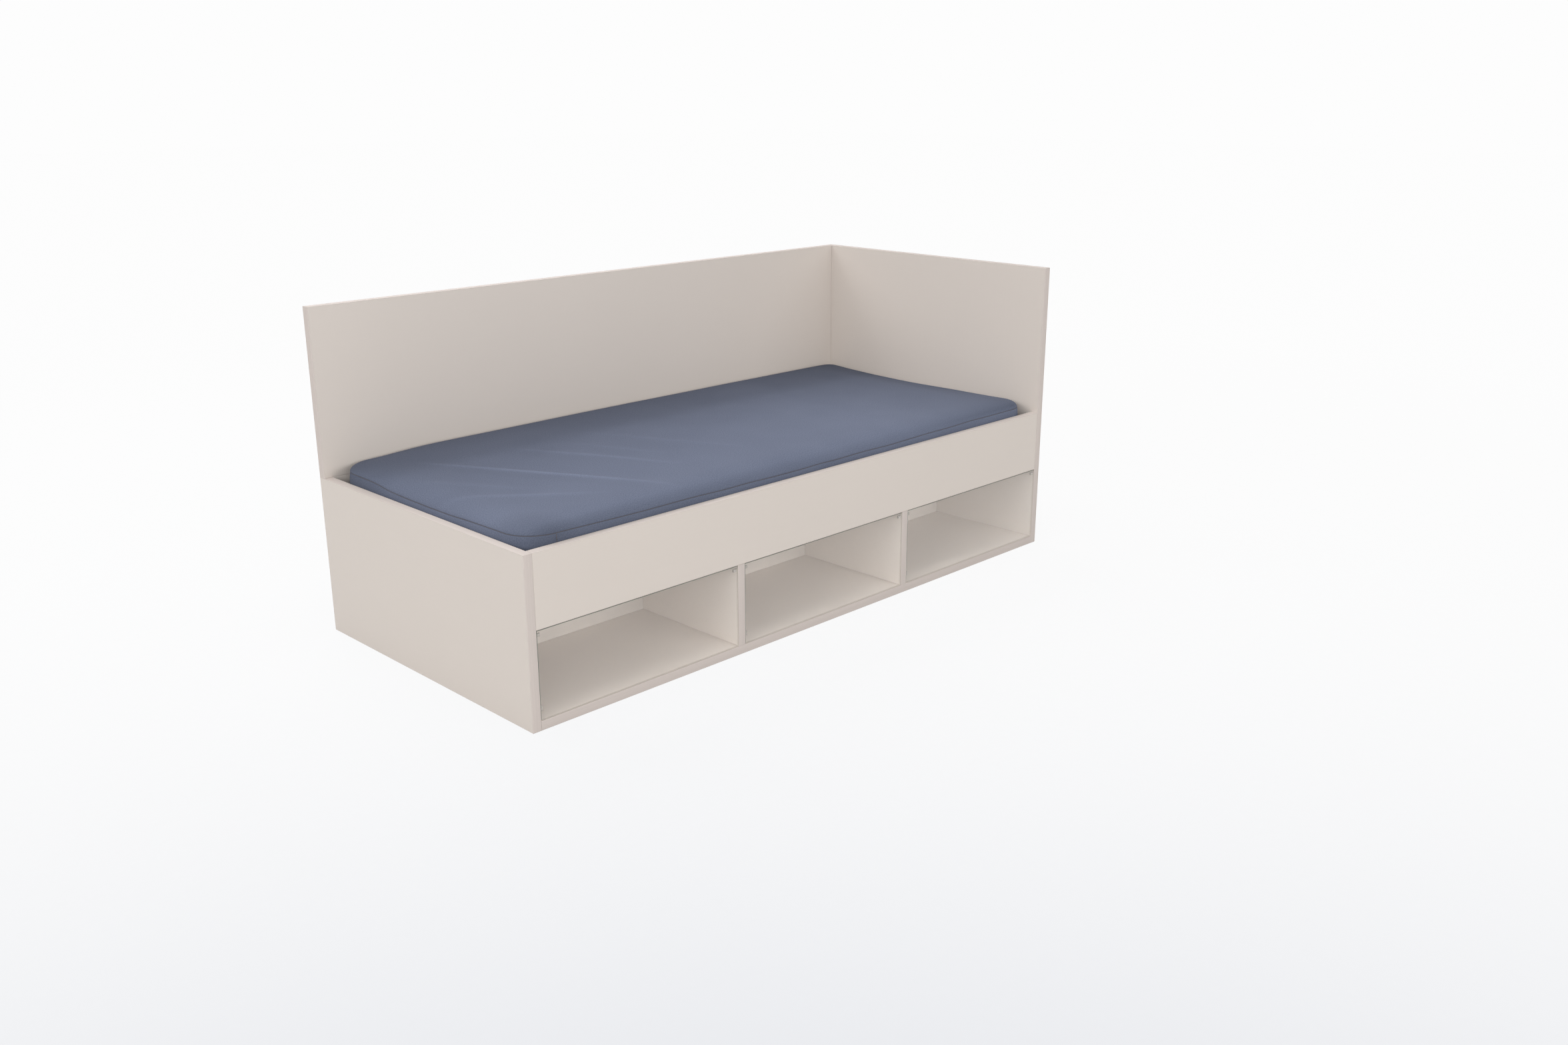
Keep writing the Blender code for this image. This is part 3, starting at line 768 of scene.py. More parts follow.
EDGE_RUNS = (
    EdgeRun("left_side_panel", Side.FRONT, Axis.Z),
    EdgeRun("left_side_panel", Side.REAR, Axis.Z),
    EdgeRun("left_side_panel", Side.TOP, Axis.Y, 0.17 * MILLIMETRE),
    EdgeRun("right_side_panel", Side.FRONT, Axis.Z),
    EdgeRun("right_side_panel", Side.REAR, Axis.Z),
    EdgeRun("right_side_panel", Side.TOP, Axis.Y, 0.17 * MILLIMETRE),
    EdgeRun("front_rail", Side.TOP, Axis.X),
    EdgeRun("front_rail", Side.FOOT, Axis.X),
    EdgeRun("bottom_board", Side.FRONT, Axis.X),
    EdgeRun("left_niche_divider", Side.FRONT, Axis.Z),
    EdgeRun("right_niche_divider", Side.FRONT, Axis.Z),
    EdgeRun("upper_back_panel", Side.LEFT, Axis.Z),
    EdgeRun("upper_back_panel", Side.TOP, Axis.X, 0.17 * MILLIMETRE),
)

BOARD_GRAINS = {
    "left_side_panel": Axis.Y,
    "right_side_panel": Axis.Z,
    "left_niche_divider": Axis.Z,
    "right_niche_divider": Axis.Z,
    "left_rear_spacer": Axis.Y,
    "right_rear_spacer": Axis.Y,
}


@dataclass
class Boards:
    """The laminated boards and the bands glued round their visible edges."""

    runs: Sequence[EdgeRun] = EDGE_RUNS
    leg: float = 1.3 * MILLIMETRE
    leg_proud: float = 0.05 * MILLIMETRE
    round_radius: float = 0.7 * MILLIMETRE
    buried: float = 0.25 * MILLIMETRE
    round_steps: int = 5

    def section(self, half: float, proud: float) -> tuple[np.ndarray, np.ndarray]:
        """Draws the band's cross-section: down one face, round the corner, over the edge and down the other face.

        Args:
            half: half the board's thickness.
            proud: how far the band stands off the edge.

        Returns:
            The outer line and the inner line, count by 2, as (across the board, outwards).
        """
        face = half + self.leg_proud * proud / (0.12 * MILLIMETRE)
        turn = np.linspace(0, np.pi / 2, self.round_steps)
        corner_across = face - self.round_radius + self.round_radius * np.cos(turn)
        corner_out = proud - self.round_radius + self.round_radius * np.sin(turn)
        across = np.concatenate([[face], corner_across])
        out = np.concatenate([[-self.leg], corner_out])
        outer = np.concatenate([np.stack([across, out], 1), np.stack([-across, out], 1)[::-1]])
        shrink = np.stack([across - self.buried - face + half, out - self.buried - proud], 1)
        shrink[0, 1] = -self.leg
        inner = np.concatenate([shrink, (shrink * [-1, 1])[::-1]])
        return outer, inner

    def band(self, run: EdgeRun) -> Patch:
        """Carries the section along the edge and closes both ends.

        Args:
            run: the edge.

        Returns:
            The band as one closed patch.
        """
        low, high = (np.array(corner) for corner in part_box(run.board))
        facing, sign = run.side.value
        across = next(axis for axis in Axis if axis not in (facing, run.along))
        half = (high[across.value] - low[across.value]) / 2
        outer, inner = self.section(half, run.proud)
        ring = np.concatenate([outer, inner[::-1], outer[:1]])
        ends = np.array([low[run.along.value], high[run.along.value]])
        edge = high[facing.value] if sign > 0 else low[facing.value]
        middle = (high[across.value] + low[across.value]) / 2

        def stand(section: np.ndarray, stations: np.ndarray) -> np.ndarray:
            """Puts section points at stations along the edge, as stations by points by 3."""
            grid = np.zeros((len(stations), len(section), 3))
            grid[..., run.along.value] = stations[:, None]
            grid[..., across.value] = middle + section[None, :, 0]
            grid[..., facing.value] = edge + sign * section[None, :, 1]
            return grid

        patches = [grid_patch(stand(ring, ends))]
        for end in ends:
            lines = [stand(line, np.array([end]))[0] for line in (outer, inner)]
            patches.append(grid_patch(np.stack(lines)))
        return joined(patches)

    def build(self, nodes: Mapping[str, bpy.types.Object]) -> None:
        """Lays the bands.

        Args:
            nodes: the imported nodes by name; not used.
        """
        for run in self.runs:
            name = f"{run.board}_{run.side.name.lower()}_band"
            Piece(name, self.band(run), EdgeStrip(run.along), "greige_board").build()


# Mattress


@dataclass
class Mattress:
    """The foam mattress in its sewn cover: crowned top, drawn band, sewn seams and soft creases."""

    corner: float = 0.095
    draw: float = 0.005
    seam_height: float = 0.140
    shoulder: float = 0.027
    crown: float = 0.003
    groove_depth: float = 0.0016
    groove_half: float = 0.0011
    foot_round: float = 0.014
    corner_steps: int = 36
    corner_powers: tuple[float, float, float, float] = (2.0, 6.0, 1.7, 2.0)
    worn_dip: float = 0.009
    worn_reach: float = 0.17
    upright_seams: tuple[float, float] = (-0.910, 0.900)
    upright_depth: float = 0.0018
    stitch_pitch: float = 0.0050
    stitch_length: float = 0.0049
    stitch_radius: float = 0.00070
    creases: tuple[Crease, ...] = CREASES

    def __post_init__(self) -> None:
        """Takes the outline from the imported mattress."""
        self.low, self.high = (np.array(corner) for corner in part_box("mattress"))
        self.middle = (self.low + self.high) / 2
        self.half = (self.high - self.low)[:2] / 2
        self.seam = self.low[2] + self.seam_height

    def stations(self, axis: Axis) -> np.ndarray:
        """Gives the straight part's stations along one side; along X they are finer over the left part, where the
        creases lie.

        Args:
            axis: the side's direction.

        Returns:
            The stations, from low to high, about the middle.
        """
        reach = self.half[axis.value] - self.corner
        if axis is Axis.Y:
            return np.linspace(-reach, reach, 150)
        fine = np.linspace(-reach, -0.12, 250, endpoint=False)
        coarse = np.linspace(-0.12, reach, 80)
        return np.concatenate([fine, coarse])

    def outline(self) -> tuple[np.ndarray, np.ndarray, np.ndarray]:
        """Walks round the rounded rectangle, front side first, anticlockwise from above.

        Each corner is a superellipse's quarter: a power of 2 rounds it evenly, a higher one squares it.

        Returns:
            The anchor of each column on the inner rectangle, its outward direction, and the
            length walked so far along the outer edge.
        """
        across, deep = self.stations(Axis.X), self.stations(Axis.Y)
        reach = self.half - self.corner
        turn = np.linspace(0, np.pi / 2, self.corner_steps + 1)[1:-1]
        anchors: list[np.ndarray] = []
        ways: list[np.ndarray] = []
        sides = (
            (np.stack([across, np.full_like(across, -reach[1])], 1), -np.pi / 2),
            (np.stack([np.full_like(deep, reach[0]), deep], 1), 0.0),
            (np.stack([across[::-1], np.full_like(across, reach[1])], 1), np.pi / 2),
            (np.stack([np.full_like(deep, -reach[0]), deep[::-1]], 1), np.pi),
        )
        for (points, facing), power in zip(sides, self.corner_powers):
            anchors.append(points)
            ways.append(np.tile([np.cos(facing), np.sin(facing)], (len(points), 1)))
            anchors.append(np.tile(points[-1], (len(turn), 1)))
            arc = np.stack([np.cos(facing + turn), np.sin(facing + turn)], 1)
            ways.append(arc / (np.abs(arc) ** power).sum(1, keepdims=True) ** (1 / power))
        anchor = np.concatenate([*anchors, anchors[0][:1]])
        way = np.concatenate([*ways, ways[0][:1]])
        edge = anchor + way * self.corner
        walked = np.concatenate([[0], np.cumsum(np.hypot(*np.diff(edge, axis=0).T))])
        return anchor, way, walked

    def seam_wave(self, edge: np.ndarray, walked: np.ndarray) -> np.ndarray:
        """Gives how far the top seam rises or dips round the mattress.

        It runs straight between a few stations and is then softened by a bell 25 mm wide.

        Args:
            edge: the outer edge's points, about the middle.
            walked: the length walked to each.

        Returns:
            The rise in metres.
        """
        reach = self.half - self.corner
        front = {-0.90: -0.5, -0.78: -2.9, -0.66: -5.0, -0.48: -4.2, -0.36: -7.0, -0.28: -5.8, -0.18: -8.1, -0.06: -8.1}
        front |= {0.00: -6.0, 0.06: -7.8, 0.18: -5.4, 0.30: -7.3, 0.48: -3.2, 0.60: -2.8, 0.68: 0.0, 0.78: -0.8, 0.90: 0.0}
        right = {-0.34: -1.0, -0.15: 1.5, 0.05: -1.5, 0.22: 0.5, 0.34: 4.0}
        rear = {0.95: 12.0, 0.45: 14.0, 0.05: 16.0, -0.40: 14.0, -0.72: 12.0, -0.86: 5.0}
        left = {0.325: 5.1, 0.225: 3.1, 0.18: -4.0, 0.08: -7.5, -0.025: -8.3, -0.13: -7.8, -0.20: -4.3, -0.33: -2.0}
        columns = [len(self.stations(axis)) + self.corner_steps - 1 for axis in (Axis.X, Axis.Y, Axis.X)]
        side_starts = walked[np.cumsum([0, *columns])]
        places = [np.array(list(front)) + reach[0]]
        places.append(side_starts[1] + np.array(list(right)) + reach[1])
        places.append(side_starts[2] + reach[0] - np.array(list(rear)))
        places.append(side_starts[3] + reach[1] - np.array(list(left)))
        rises = np.concatenate([list(side.values()) for side in (front, right, rear, left)]) * MILLIMETRE
        around = walked[-1]
        even = np.linspace(0, around, 2048, endpoint=False)
        wave = np.interp(even, np.concatenate(places), rises, period=around)
        gap = np.minimum(even, around - even)
        bell = np.exp(-((gap / 0.025) ** 2))
        soft = np.fft.irfft(np.fft.rfft(wave) * np.fft.rfft(bell / bell.sum()), len(even))
        return np.interp(walked, even, soft, period=around)

    def relief(self, x: np.ndarray, y: np.ndarray) -> np.ndarray:
        """Gives what the top adds to its crown: creases, slow swells, the low right end and rear left corner.

        Args:
            x, y: the points, about the middle.

        Returns:
            The height in metres.
        """
        swell = 0.9 * np.sin(5.3 * x + 1.1) * np.cos(6.1 * y + 0.4) + 0.6 * np.sin(11.0 * x - 7.0 * y)
        end = np.clip((x - self.half[0] + 0.19) / 0.16, 0, 1)
        dip = -0.0125 * end**2 * (3 - 2 * end) * np.cos(np.clip(y / self.half[1], -1, 1) * np.pi / 2) ** 0.8
        apart = ((x + self.half[0]) ** 2 + (y - self.half[1]) ** 2) / self.worn_reach**2
        ridges = sum(crease.rise(x, y) for crease in self.creases)
        return swell * MILLIMETRE + dip + ridges - self.worn_dip * np.exp(-apart)

    def top_height(self, x: np.ndarray, y: np.ndarray, share: np.ndarray, wave: np.ndarray) -> np.ndarray:
        """Gives the top's height: seam, shoulder, crown and relief.

        The shoulder rises as a quarter sine of the share of the way in; the crown is a product of
        two parabolas; the seam's wave dies away with that share.

        Args:
            x, y: the points, about the middle.
            share: 0 at the seam, 1 where the shoulder ends.
            wave: the seam's rise beside each point.

        Returns:
            The height in metres.
        """
        level = self.seam + wave * (1 - share) ** 2 * (1 + 2 * share)
        bowl = (1 - (x / self.half[0]) ** 2) * (1 - (y / self.half[1]) ** 2)
        rise = self.shoulder * np.sin(np.pi / 2 * share) + self.crown * bowl
        return level + rise + self.relief(x, y) * np.clip(share * 1.6, 0, 1) ** 1.5

    def cover(self) -> Patch:
        """Makes the whole cover: top, groove, band and underside, as one closed skin.

        Returns:
            The patch.
        """
        anchor, way, walked = self.outline()
        wave = self.seam_wave(anchor + way * self.corner, walked)
        share = np.concatenate([np.linspace(1, 0, 14)[:-1], [0.03]])
        top_inset = self.draw + (self.corner - self.draw) * share**2
        top = anchor[None] + way[None] * (self.corner - top_inset)[:, None, None]
        spread_share = np.repeat(share[:, None], len(walked), 1)
        top_z = self.top_height(top[..., 0], top[..., 1], spread_share, wave[None])
        top_rows = np.concatenate([top, top_z[..., None]], 2)

        seam_z = self.seam + wave
        lip = np.array([0.55, 0.0, -0.55, -1.0]) * self.groove_half
        lip_inset = self.draw + np.array([0.6, 1.0, 0.6, 0.1]) * self.groove_depth
        drop = np.linspace(0.03, 1, 11)
        bulge = np.sin(np.pi * drop) ** 0.7
        band_inset = self.draw * (1 - bulge)
        foot = self.low[2] + self.foot_round
        heights = seam_z[None] + lip[:, None]
        band_z = (seam_z - self.groove_half)[None] * (1 - drop)[:, None] + foot * drop[:, None]
        turn = np.linspace(0, np.pi / 2, 7)[1:]
        foot_inset = self.draw + self.foot_round * (1 - np.cos(turn))
        foot_z = foot - self.foot_round * np.sin(turn)
        under_inset = np.linspace(foot_inset[-1], self.corner, 5)[1:]
        side_inset = np.concatenate([lip_inset, band_inset, foot_inset, under_inset])
        flat = np.repeat(np.concatenate([foot_z, np.full(len(under_inset), self.low[2])])[:, None], len(walked), 1)
        side_z = np.concatenate([heights, band_z, flat])
        pinch = self.upright_pinch(anchor, way)
        fade = np.concatenate([np.zeros(len(lip)), np.clip(np.sin(np.pi * drop) * 6, 0, 1), np.zeros(len(flat))])
        inset = side_inset[:, None] + fade[:, None] * pinch[None] * self.upright_depth
        side = anchor[None] + way[None] * (self.corner - inset)[..., None]
        rows = np.concatenate([top_rows, np.concatenate([side, side_z[..., None]], 2)])

        step = np.linalg.norm(np.diff(rows, axis=0), axis=2)
        run = np.concatenate([np.zeros((1, len(walked))), np.cumsum(step, axis=0)])
        top_layout = anchor[None] + way[None] * run[: len(share), :, None]
        side_layout = np.stack([np.repeat(walked[None], len(rows) - len(share) + 1, 0), -run[len(share) - 1 :]], 2)
        skin = grid_patch(rows[: len(share)], top_layout)
        wall = grid_patch(rows[len(share) - 1 :], side_layout)

        x, y = np.meshgrid(self.stations(Axis.X), self.stations(Axis.Y))
        full = np.ones_like(x)
        height = self.top_height(x, y, full, full * 0)
        sleeping = grid_patch(np.stack([x, y, height], 2))
        ridge_reach = self.half[0] - self.half[1]
        ridge = np.stack([np.clip(anchor[:, 0], -ridge_reach, ridge_reach), anchor[:, 1] * 0], 1)
        under_rows = np.stack([anchor, ridge])
        level = np.full((*under_rows.shape[:2], 1), self.low[2])
        under = grid_patch(np.concatenate([under_rows, level], 2))
        whole = joined([skin, wall, sleeping, under])
        whole.points[:, :2] += self.middle[:2]
        return whole

    def upright_pinch(self, anchor: np.ndarray, way: np.ndarray) -> np.ndarray:
        """Gives 1 at the band's upright seams, falling as a bell to 0 beside them."""
        on_front = way[:, 1] < -0.9
        gaps = np.abs((anchor + way * self.corner)[:, :1] - np.array([self.upright_seams]))
        return np.where(on_front, np.exp(-((gaps.min(1) / 0.004) ** 2)), 0)

    def stitch(self) -> Patch:
        """Makes one stitch: a short arched tube with both ends closed, along X and up Z."""
        along = np.array([-1, -0.86, -0.4, 0.4, 0.86, 1])
        thick = np.array([0, 0.7, 1, 1, 0.7, 0])
        turn = np.linspace(0, 2 * np.pi, 7)
        x = np.repeat(along[:, None] * self.stitch_length / 2, 7, 1)
        y = thick[:, None] * np.cos(turn) * self.stitch_radius
        z = (thick[:, None] * np.sin(turn) + 0.6 * (1 - along[:, None] ** 2)) * self.stitch_radius
        return grid_patch(np.stack([x, y, z], 2))

    def stitch_row(self, path: np.ndarray, out: np.ndarray) -> Patch:
        """Sews stitches at an even pitch along a path.

        Args:
            path: points along the seam.
            out: the direction that each point's cloth faces.

        Returns:
            The stitches as one patch.
        """
        walked = np.concatenate([[0], np.cumsum(np.linalg.norm(np.diff(path, axis=0), axis=1))])
        count = int(walked[-1] / self.stitch_pitch)
        places = (np.arange(count) + 0.5) * walked[-1] / count
        ahead = places + self.stitch_length / 4
        centre = np.stack([np.interp(places, walked, path[:, axis]) for axis in range(3)], 1)
        further = np.stack([np.interp(ahead, walked, path[:, axis]) for axis in range(3)], 1)
        facing = np.stack([np.interp(places, walked, out[:, axis]) for axis in range(3)], 1)
        tangent = further - centre
        tangent /= np.linalg.norm(tangent, axis=1)[:, None]
        side = np.cross(facing, tangent)
        side /= np.linalg.norm(side, axis=1)[:, None]
        up = np.cross(tangent, side)
        return repeated(self.stitch(), centre, np.stack([tangent, side, up], 2))

    def sewing(self) -> Patch:
        """Makes all stitches: round the top seam and down the band's upright seams.

        Returns:
            The patch.
        """
        anchor, way, walked = self.outline()
        wave = self.seam_wave(anchor + way * self.corner, walked)
        inset = self.draw + self.groove_depth - 0.6 * self.stitch_radius
        flat = anchor + way * (self.corner - inset) + self.middle[:2]
        path = np.concatenate([flat, (self.seam + wave)[:, None]], 1)
        out = np.concatenate([way, np.full((len(way), 1), 0.35)], 1)
        rows = [self.stitch_row(path, out)]
        for x in self.upright_seams:
            z = np.linspace(self.seam - 0.0015, self.low[2] + self.foot_round, 24)
            drop = np.clip((self.seam - z) / (self.seam - z[-1]), 0.03, 1)
            bulge = np.sin(np.pi * drop) ** 0.7
            sunk = np.clip(np.sin(np.pi * drop) * 6, 0, 1) * self.upright_depth
            inset = self.draw * (1 - bulge) + sunk - 0.4 * self.stitch_radius
            past = max(abs(x - self.middle[0]) - self.half[0] + self.corner, 0.0)
            y = self.low[1] + self.corner - np.sqrt((self.corner - inset) ** 2 - past**2)
            line = np.stack([np.full_like(z, x), y, z], 1)
            rows.append(self.stitch_row(line, np.tile([0.0, -1.0, 0.0], (len(z), 1))))
        return joined(rows)

    def build(self) -> None:
        """Makes the cover and its sewing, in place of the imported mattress."""
        cover = Piece("mattress_cover", self.cover(), Twill(), "mattress_fabric", smooth_angle=80).build()
        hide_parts("mattress")
        Piece("mattress_stitching", self.sewing(), Thread(), "mattress_fabric").build()


# Glass fronts


@dataclass
class GlassFronts:
    """The three glass flaps and the ground edge round each."""

    bodies: Mapping[str, Body] = field(
        default_factory=lambda: {
            "left": Body.LEFT_FLAP,
            "middle": Body.MIDDLE_FLAP,
            "right": Body.RIGHT_FLAP,
        }
    )
    arris: float = 0.4 * MILLIMETRE
    proud: float = 0.06 * MILLIMETRE
    buried: float = 0.15 * MILLIMETRE

    def rim(self, node: str) -> Patch:
        """Carries the ground edge's section round the pane, with mitred corners.

        The section crosses the pane's thickness with an arris at each face; each corner of the
        section follows the pane's outline moved out by the section's own height.

        Args:
            node: the pane.

        Returns:
            The rim as one closed ring.
        """
        low, high = (np.array(corner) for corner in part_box(node))
        front, back = low[1] - self.proud, high[1] + self.proud
        edge, bevel = self.proud, self.arris
        outer = [(front, -bevel), (front + bevel, edge), (back - bevel, edge), (back, -bevel)]
        inner = [(high[1] - self.buried, -bevel), (high[1] - bevel, -self.buried - bevel)]
        inner += [(low[1] + bevel, -self.buried - bevel), (low[1] + self.buried, -bevel)]
        section = np.array([*outer, *inner, outer[0]])
        signs = np.array([(-1, -1), (1, -1), (1, 1), (-1, 1), (-1, -1)])
        centre, half = (low + high) / 2, (high - low) / 2
        grid = np.zeros((len(signs), len(section), 3))
        grid[..., 0] = centre[0] + signs[:, :1] * (half[0] + section[None, :, 1])
        grid[..., 1] = section[None, :, 0]
        grid[..., 2] = centre[2] + signs[:, 1:] * (half[2] + section[None, :, 1])
        depth = np.array([0] * len(outer) + [1] * len(inner) + [0], float)
        layout = np.zeros((len(signs), len(section), 2))
        layout[..., 0] = depth[None]
        return grid_patch(grid, layout)

    def build(self) -> None:
        """Makes a rim for each pane."""
        for side, body in self.bodies.items():
            patch = self.rim(f"{side}_glass_flap")
            Piece(f"{side}_glass_edge", patch, GroundEdge(), "clear_glass", body, 20.0).build()


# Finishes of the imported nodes


@dataclass
class Dressing:
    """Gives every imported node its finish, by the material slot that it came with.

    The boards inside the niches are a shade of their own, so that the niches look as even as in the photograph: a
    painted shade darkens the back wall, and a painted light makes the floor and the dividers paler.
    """

    grains: Mapping[str, Axis] = field(default_factory=lambda: BOARD_GRAINS)
    # Painted shade on the niche back wall, painted light on the niche floor and dividers.
    niche_shades: Mapping[str, float] = field(
        default_factory=lambda: {
            "niche_back_wall": 0.78,
            "bottom_board": 1.05,
            "left_niche_divider": 1.05,
            "right_niche_divider": 1.05,
        }
    )

    def finish_for(self, node: str, slot: str) -> Finish:
        """Chooses a node's finish.

        Args:
            node: the node's name.
            slot: its slot's name.

        Returns:
            The finish.
        """
        if node in self.niche_shades:
            own = shade(GREIGE, self.niche_shades[node])
            return Laminate(self.grains.get(node, Axis.X), own, name=f"{node}_laminate")
        if slot == "greige_board":
            return Laminate(self.grains.get(node, Axis.X))
        if slot == "slat_timber":
            return Timber(grain=Axis.X if "ledger" in node else Axis.Y)
        if slot == "dowel_beech":
            return Timber("turned_beech", Axis.Z, BEECH, 9.0)
        plain = {
            "webbing": Webbing(),
            "mattress_fabric": Twill(),
            "clear_glass": PaneGlass(),
            "zinc": ZINC,
            "painted_metal": PAINTED_METAL,
            "greige_plastic": MOULDED_PLASTIC,
        }
        return plain[slot]

    def build(self, nodes: Mapping[str, bpy.types.Object]) -> None:
        """Dresses all nodes.

        Args:
            nodes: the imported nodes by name.
        """
        for name, node in nodes.items():
            slot = node.material_slots[0].material.name.split(".")[0]
            chosen = self.finish_for(name, slot)
            for place in node.material_slots:
                place.material = chosen.material()
            LOG.info("%s: %s", name, chosen.label())


# Studio


@dataclass(frozen=True)
class Softbox:
    """A large soft lamp: where it hangs, what it points at, its size and the light that leaves it."""

    name: str
    place: tuple[float, float, float]
    aim: tuple[float, float, float]
    size: tuple[float, float]
    brightness: float
    colour: Colour = (1.0, 1.0, 1.0)

    def build(self) -> bpy.types.Object:
        """Hangs the lamp.

        Returns:
            The lamp's object.
        """
        lamp = bpy.data.lights.new(self.name, "AREA")
        lamp.shape = "RECTANGLE"
        lamp.size, lamp.size_y = self.size
        lamp.energy = self.brightness * self.size[0] * self.size[1] * np.pi
        lamp.color = self.colour
        made = bpy.data.objects.new(self.name, lamp)
        made.location = self.place
        away = Vector(self.place) - Vector(self.aim)
        made.rotation_euler = away.to_track_quat("Z", "Y").to_euler()
        made.visible_camera = False
        bpy.context.scene.collection.objects.link(made)
        return made


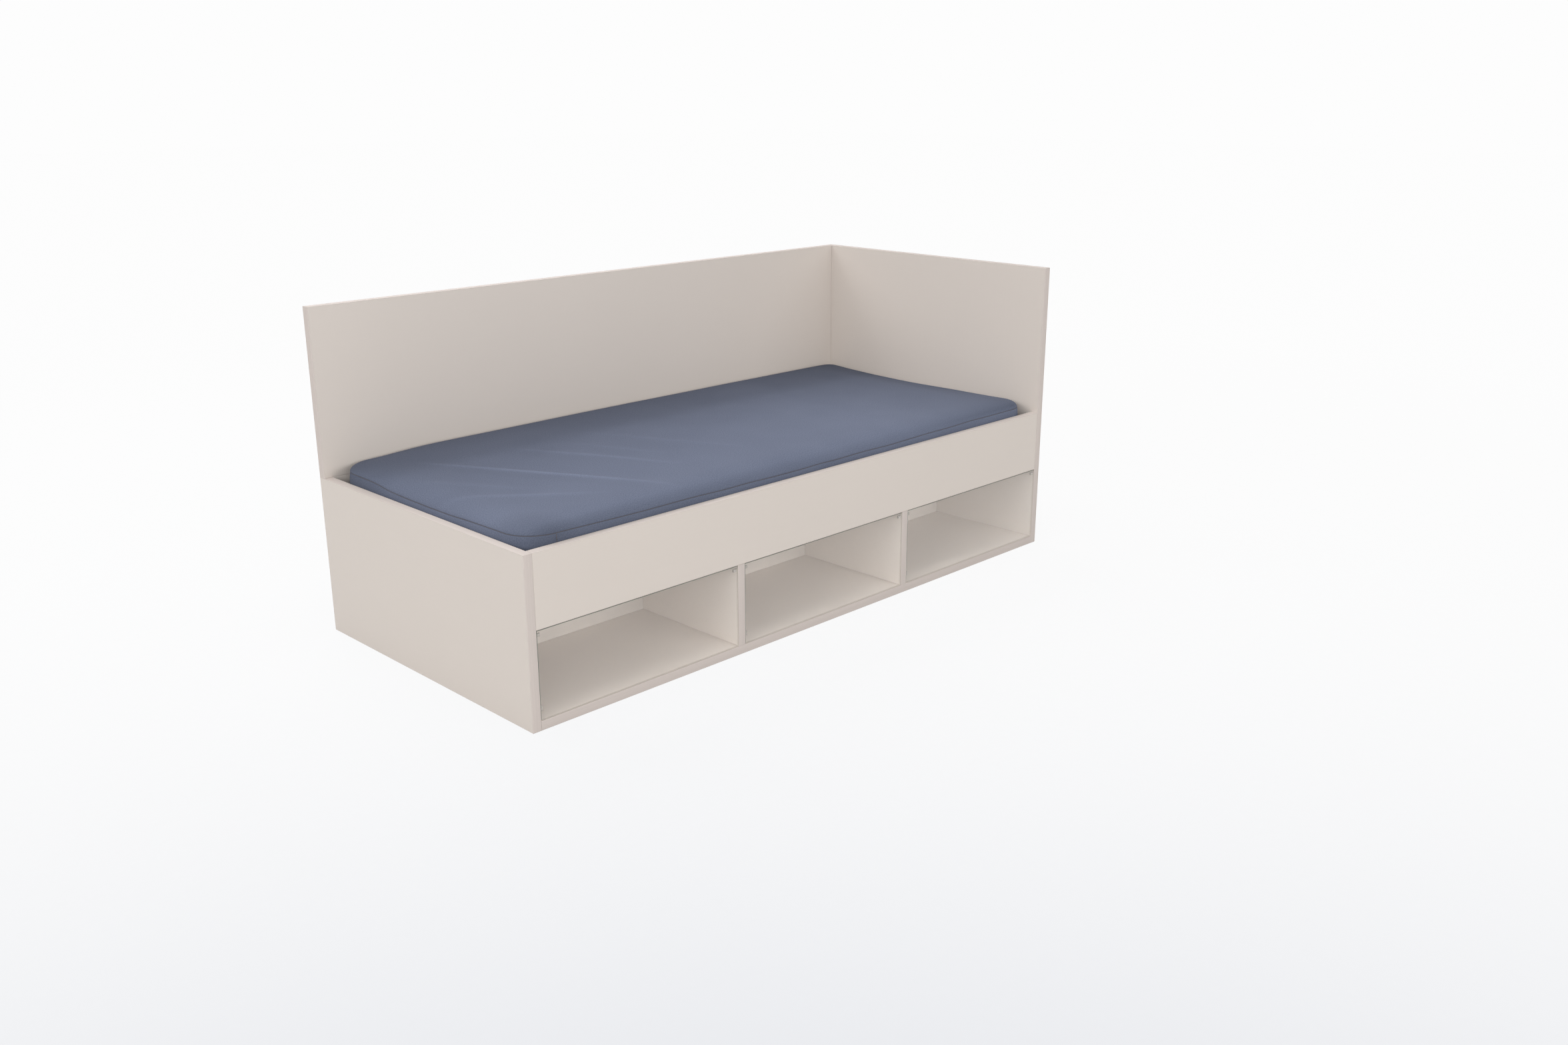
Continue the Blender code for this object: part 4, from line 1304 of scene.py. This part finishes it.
@dataclass
class Studio:
    """A white room: pale floor, white surroundings and soft lamps."""

    world_light: float = 0.14
    world_colour: Colour = (1.0, 1.0, 1.0)
    floor_reach: float = 30.0
    floor_drop: float = 0.0005
    floor_colour: Colour = (0.55, 0.55, 0.55)
    backdrop: Colour = PAPER_WHITE
    # Painted shade: the floor's seen tone goes from far_tone to the darker near_tone towards a spot below the camera.
    near_tone: Colour = (0.770, 0.784, 0.822)
    far_tone: Colour = (0.980, 0.980, 0.980)
    near_reach: float = 2.12
    near_fade: float = 3.6
    painted_shade_spot: tuple[float, float] = (-2.77, -3.04)
    shadow_share: float = 0.05
    shadow_reach: tuple[float, float] = (1.5, 5.0)
    lamps: tuple[Softbox, ...] = (
        Softbox("front_softbox", (-0.2, -9.4, 3.2), (0.0, 0.0, 0.3), (10.0, 3.2), 4.6),
        Softbox("left_softbox", (-9.8, -0.4, 4.5), (0.0, 0.0, 0.3), (8.0, 3.2), 5.5),
        Softbox("front_left_softbox", (-6.9, -6.9, 2.8), (0.0, 0.0, 0.3), (6.0, 3.2), 3.2),
        Softbox("rear_top_softbox", (0.0, 5.0, 5.4), (0.0, -0.1, 0.4), (8.0, 4.0), 3.2),
        Softbox("overhead_softbox", (0.0, -0.8, 7.0), (0.0, 0.0, 0.4), (6.0, 4.0), 2.4),
    )

    def seen_plainly(self, recipe: Recipe) -> Socket:
        """Gives 1 for rays that look at the background straight, in a mirror or through glass.

        Rays that have left a matt surface before give 0: they carry light, and nobody looks along them.
        """
        path = recipe.add("ShaderNodeLightPath").outputs
        either = recipe.math("MAXIMUM", path["Is Camera Ray"], path["Is Glossy Ray"])
        looked = recipe.math("MAXIMUM", either, path["Is Transmission Ray"])
        return recipe.math("MULTIPLY", looked, recipe.math("LESS_THAN", path["Diffuse Depth"], 0.5))

    def world(self) -> None:
        """Fills the world: plain light on the object, near white where it is looked at."""
        world = bpy.data.worlds.new("white_room")
        bpy.context.scene.world = world
        world.use_nodes = True
        tree = world.node_tree
        tree.nodes.clear()
        recipe = Recipe.__new__(Recipe)
        recipe.tree = tree
        seen = self.seen_plainly(recipe)
        light = recipe.add("ShaderNodeBackground", {"Color": self.world_colour, "Strength": self.world_light})
        white = recipe.add("ShaderNodeBackground", {"Color": self.backdrop, "Strength": 1.0})
        mix = recipe.add("ShaderNodeMixShader", {0: seen, 1: light.outputs[0], 2: white.outputs[0]})
        end = recipe.add("ShaderNodeOutputWorld")
        recipe.feed(end.inputs["Surface"], mix.outputs[0])

    def floor(self) -> None:
        """Lays the floor: a pale surface, near white where it is looked at, that keeps a faint shadow, with a painted
        shade that darkens its seen tone towards a spot below the camera.
        """
        recipe = Recipe("pale_floor")
        spot = (-self.painted_shade_spot[0], -self.painted_shade_spot[1], 0.0)
        source = recipe.add("ShaderNodeTexCoord").outputs["Object"]
        moved = recipe.add("ShaderNodeMapping", {"Vector": source, "Location": spot}).outputs["Vector"]
        far = recipe.add("ShaderNodeVectorMath", {0: moved}, operation="LENGTH").outputs["Value"]
        ratio = recipe.math("DIVIDE", self.near_reach, recipe.math("MAXIMUM", far, 0.2))
        gone = recipe.math("MULTIPLY", recipe.math("POWER", ratio, self.near_fade), -1.0)
        near = recipe.math("SUBTRACT", 1.0, recipe.math("EXPONENT", gone))
        grain = recipe.noise(recipe.place(), 40.0, 3.0)
        soft = recipe.spread(grain, 0.2, 0.8, 0.997, 1.003)
        # Painted shade: darker and bluer towards the spot below the camera.
        tone = recipe.mixed(near, self.far_tone, self.near_tone)
        lifted = recipe.add("ShaderNodeVectorMath", {0: tone, "Scale": soft}, operation="SCALE").outputs["Vector"]
        away = recipe.add("ShaderNodeVectorMath", {0: source}, operation="LENGTH").outputs["Value"]
        held = recipe.spread(away, *self.shadow_reach, self.shadow_share, 0.0)
        glow = recipe.add("ShaderNodeEmission", {"Color": lifted, "Strength": recipe.math("SUBTRACT", 1.0, held)})
        veil = recipe.add("ShaderNodeBsdfDiffuse", {"Color": held})
        seen_floor = recipe.add("ShaderNodeAddShader", {0: glow.outputs[0], 1: veil.outputs[0]})
        plain = recipe.add("ShaderNodeBsdfDiffuse", {"Color": self.floor_colour})
        seen = self.seen_plainly(recipe)
        mix = recipe.add("ShaderNodeMixShader", {0: seen, 1: plain.outputs[0], 2: seen_floor.outputs[0]})
        recipe.feed(recipe.output.inputs["Surface"], mix.outputs[0])
        reach = np.linspace(-self.floor_reach, self.floor_reach, 9)
        x, y = np.meshgrid(reach, reach)
        patch = grid_patch(np.stack([x, y, np.full_like(x, -self.floor_drop)], 2))
        mesh = bpy.data.meshes.new("studio_floor")
        mesh.from_pydata(patch.points, [], patch.faces)
        mesh.materials.append(recipe.material)
        made = bpy.data.objects.new("studio_floor", mesh)
        bpy.context.scene.collection.objects.link(made)

    def build(self) -> None:
        """Makes the world, the floor and the lamps."""
        self.world()
        self.floor()
        for lamp in self.lamps:
            lamp.build()
        bpy.context.scene.view_settings.view_transform = "Standard"


@dataclass
class Camera:
    """The camera at the photograph's place, with its lens and turn."""

    place: tuple[float, float, float] = (-2.76868, -3.03561, 1.49096)
    azimuth: float = -45.3403
    elevation: float = 17.5527
    lens: float = 32.126
    sensor: float = 36.0

    def build(self) -> None:
        """Sets up the camera and makes it the scene's own."""
        data = bpy.data.cameras.new("photo_camera")
        data.lens = self.lens
        data.sensor_fit = "HORIZONTAL"
        data.sensor_width = self.sensor
        data.clip_start, data.clip_end = 0.05, 200.0
        made = bpy.data.objects.new("photo_camera", data)
        made.location = self.place
        pitch, heading = np.radians(90 - self.elevation), np.radians(self.azimuth)
        made.rotation_euler = Euler((pitch, 0.0, heading))
        bpy.context.scene.collection.objects.link(made)
        bpy.context.scene.camera = made


def main() -> None:
    """Builds the sub-assemblies in order."""
    logging.basicConfig(level=logging.INFO, format="%(name)s: %(message)s")
    nodes = frame["nodes"]
    Camera().build()
    Studio().build()
    Dressing().build(nodes)
    Boards().build(nodes)
    Mattress().build()
    GlassFronts().build()


if __name__ == "__main__":
    main()
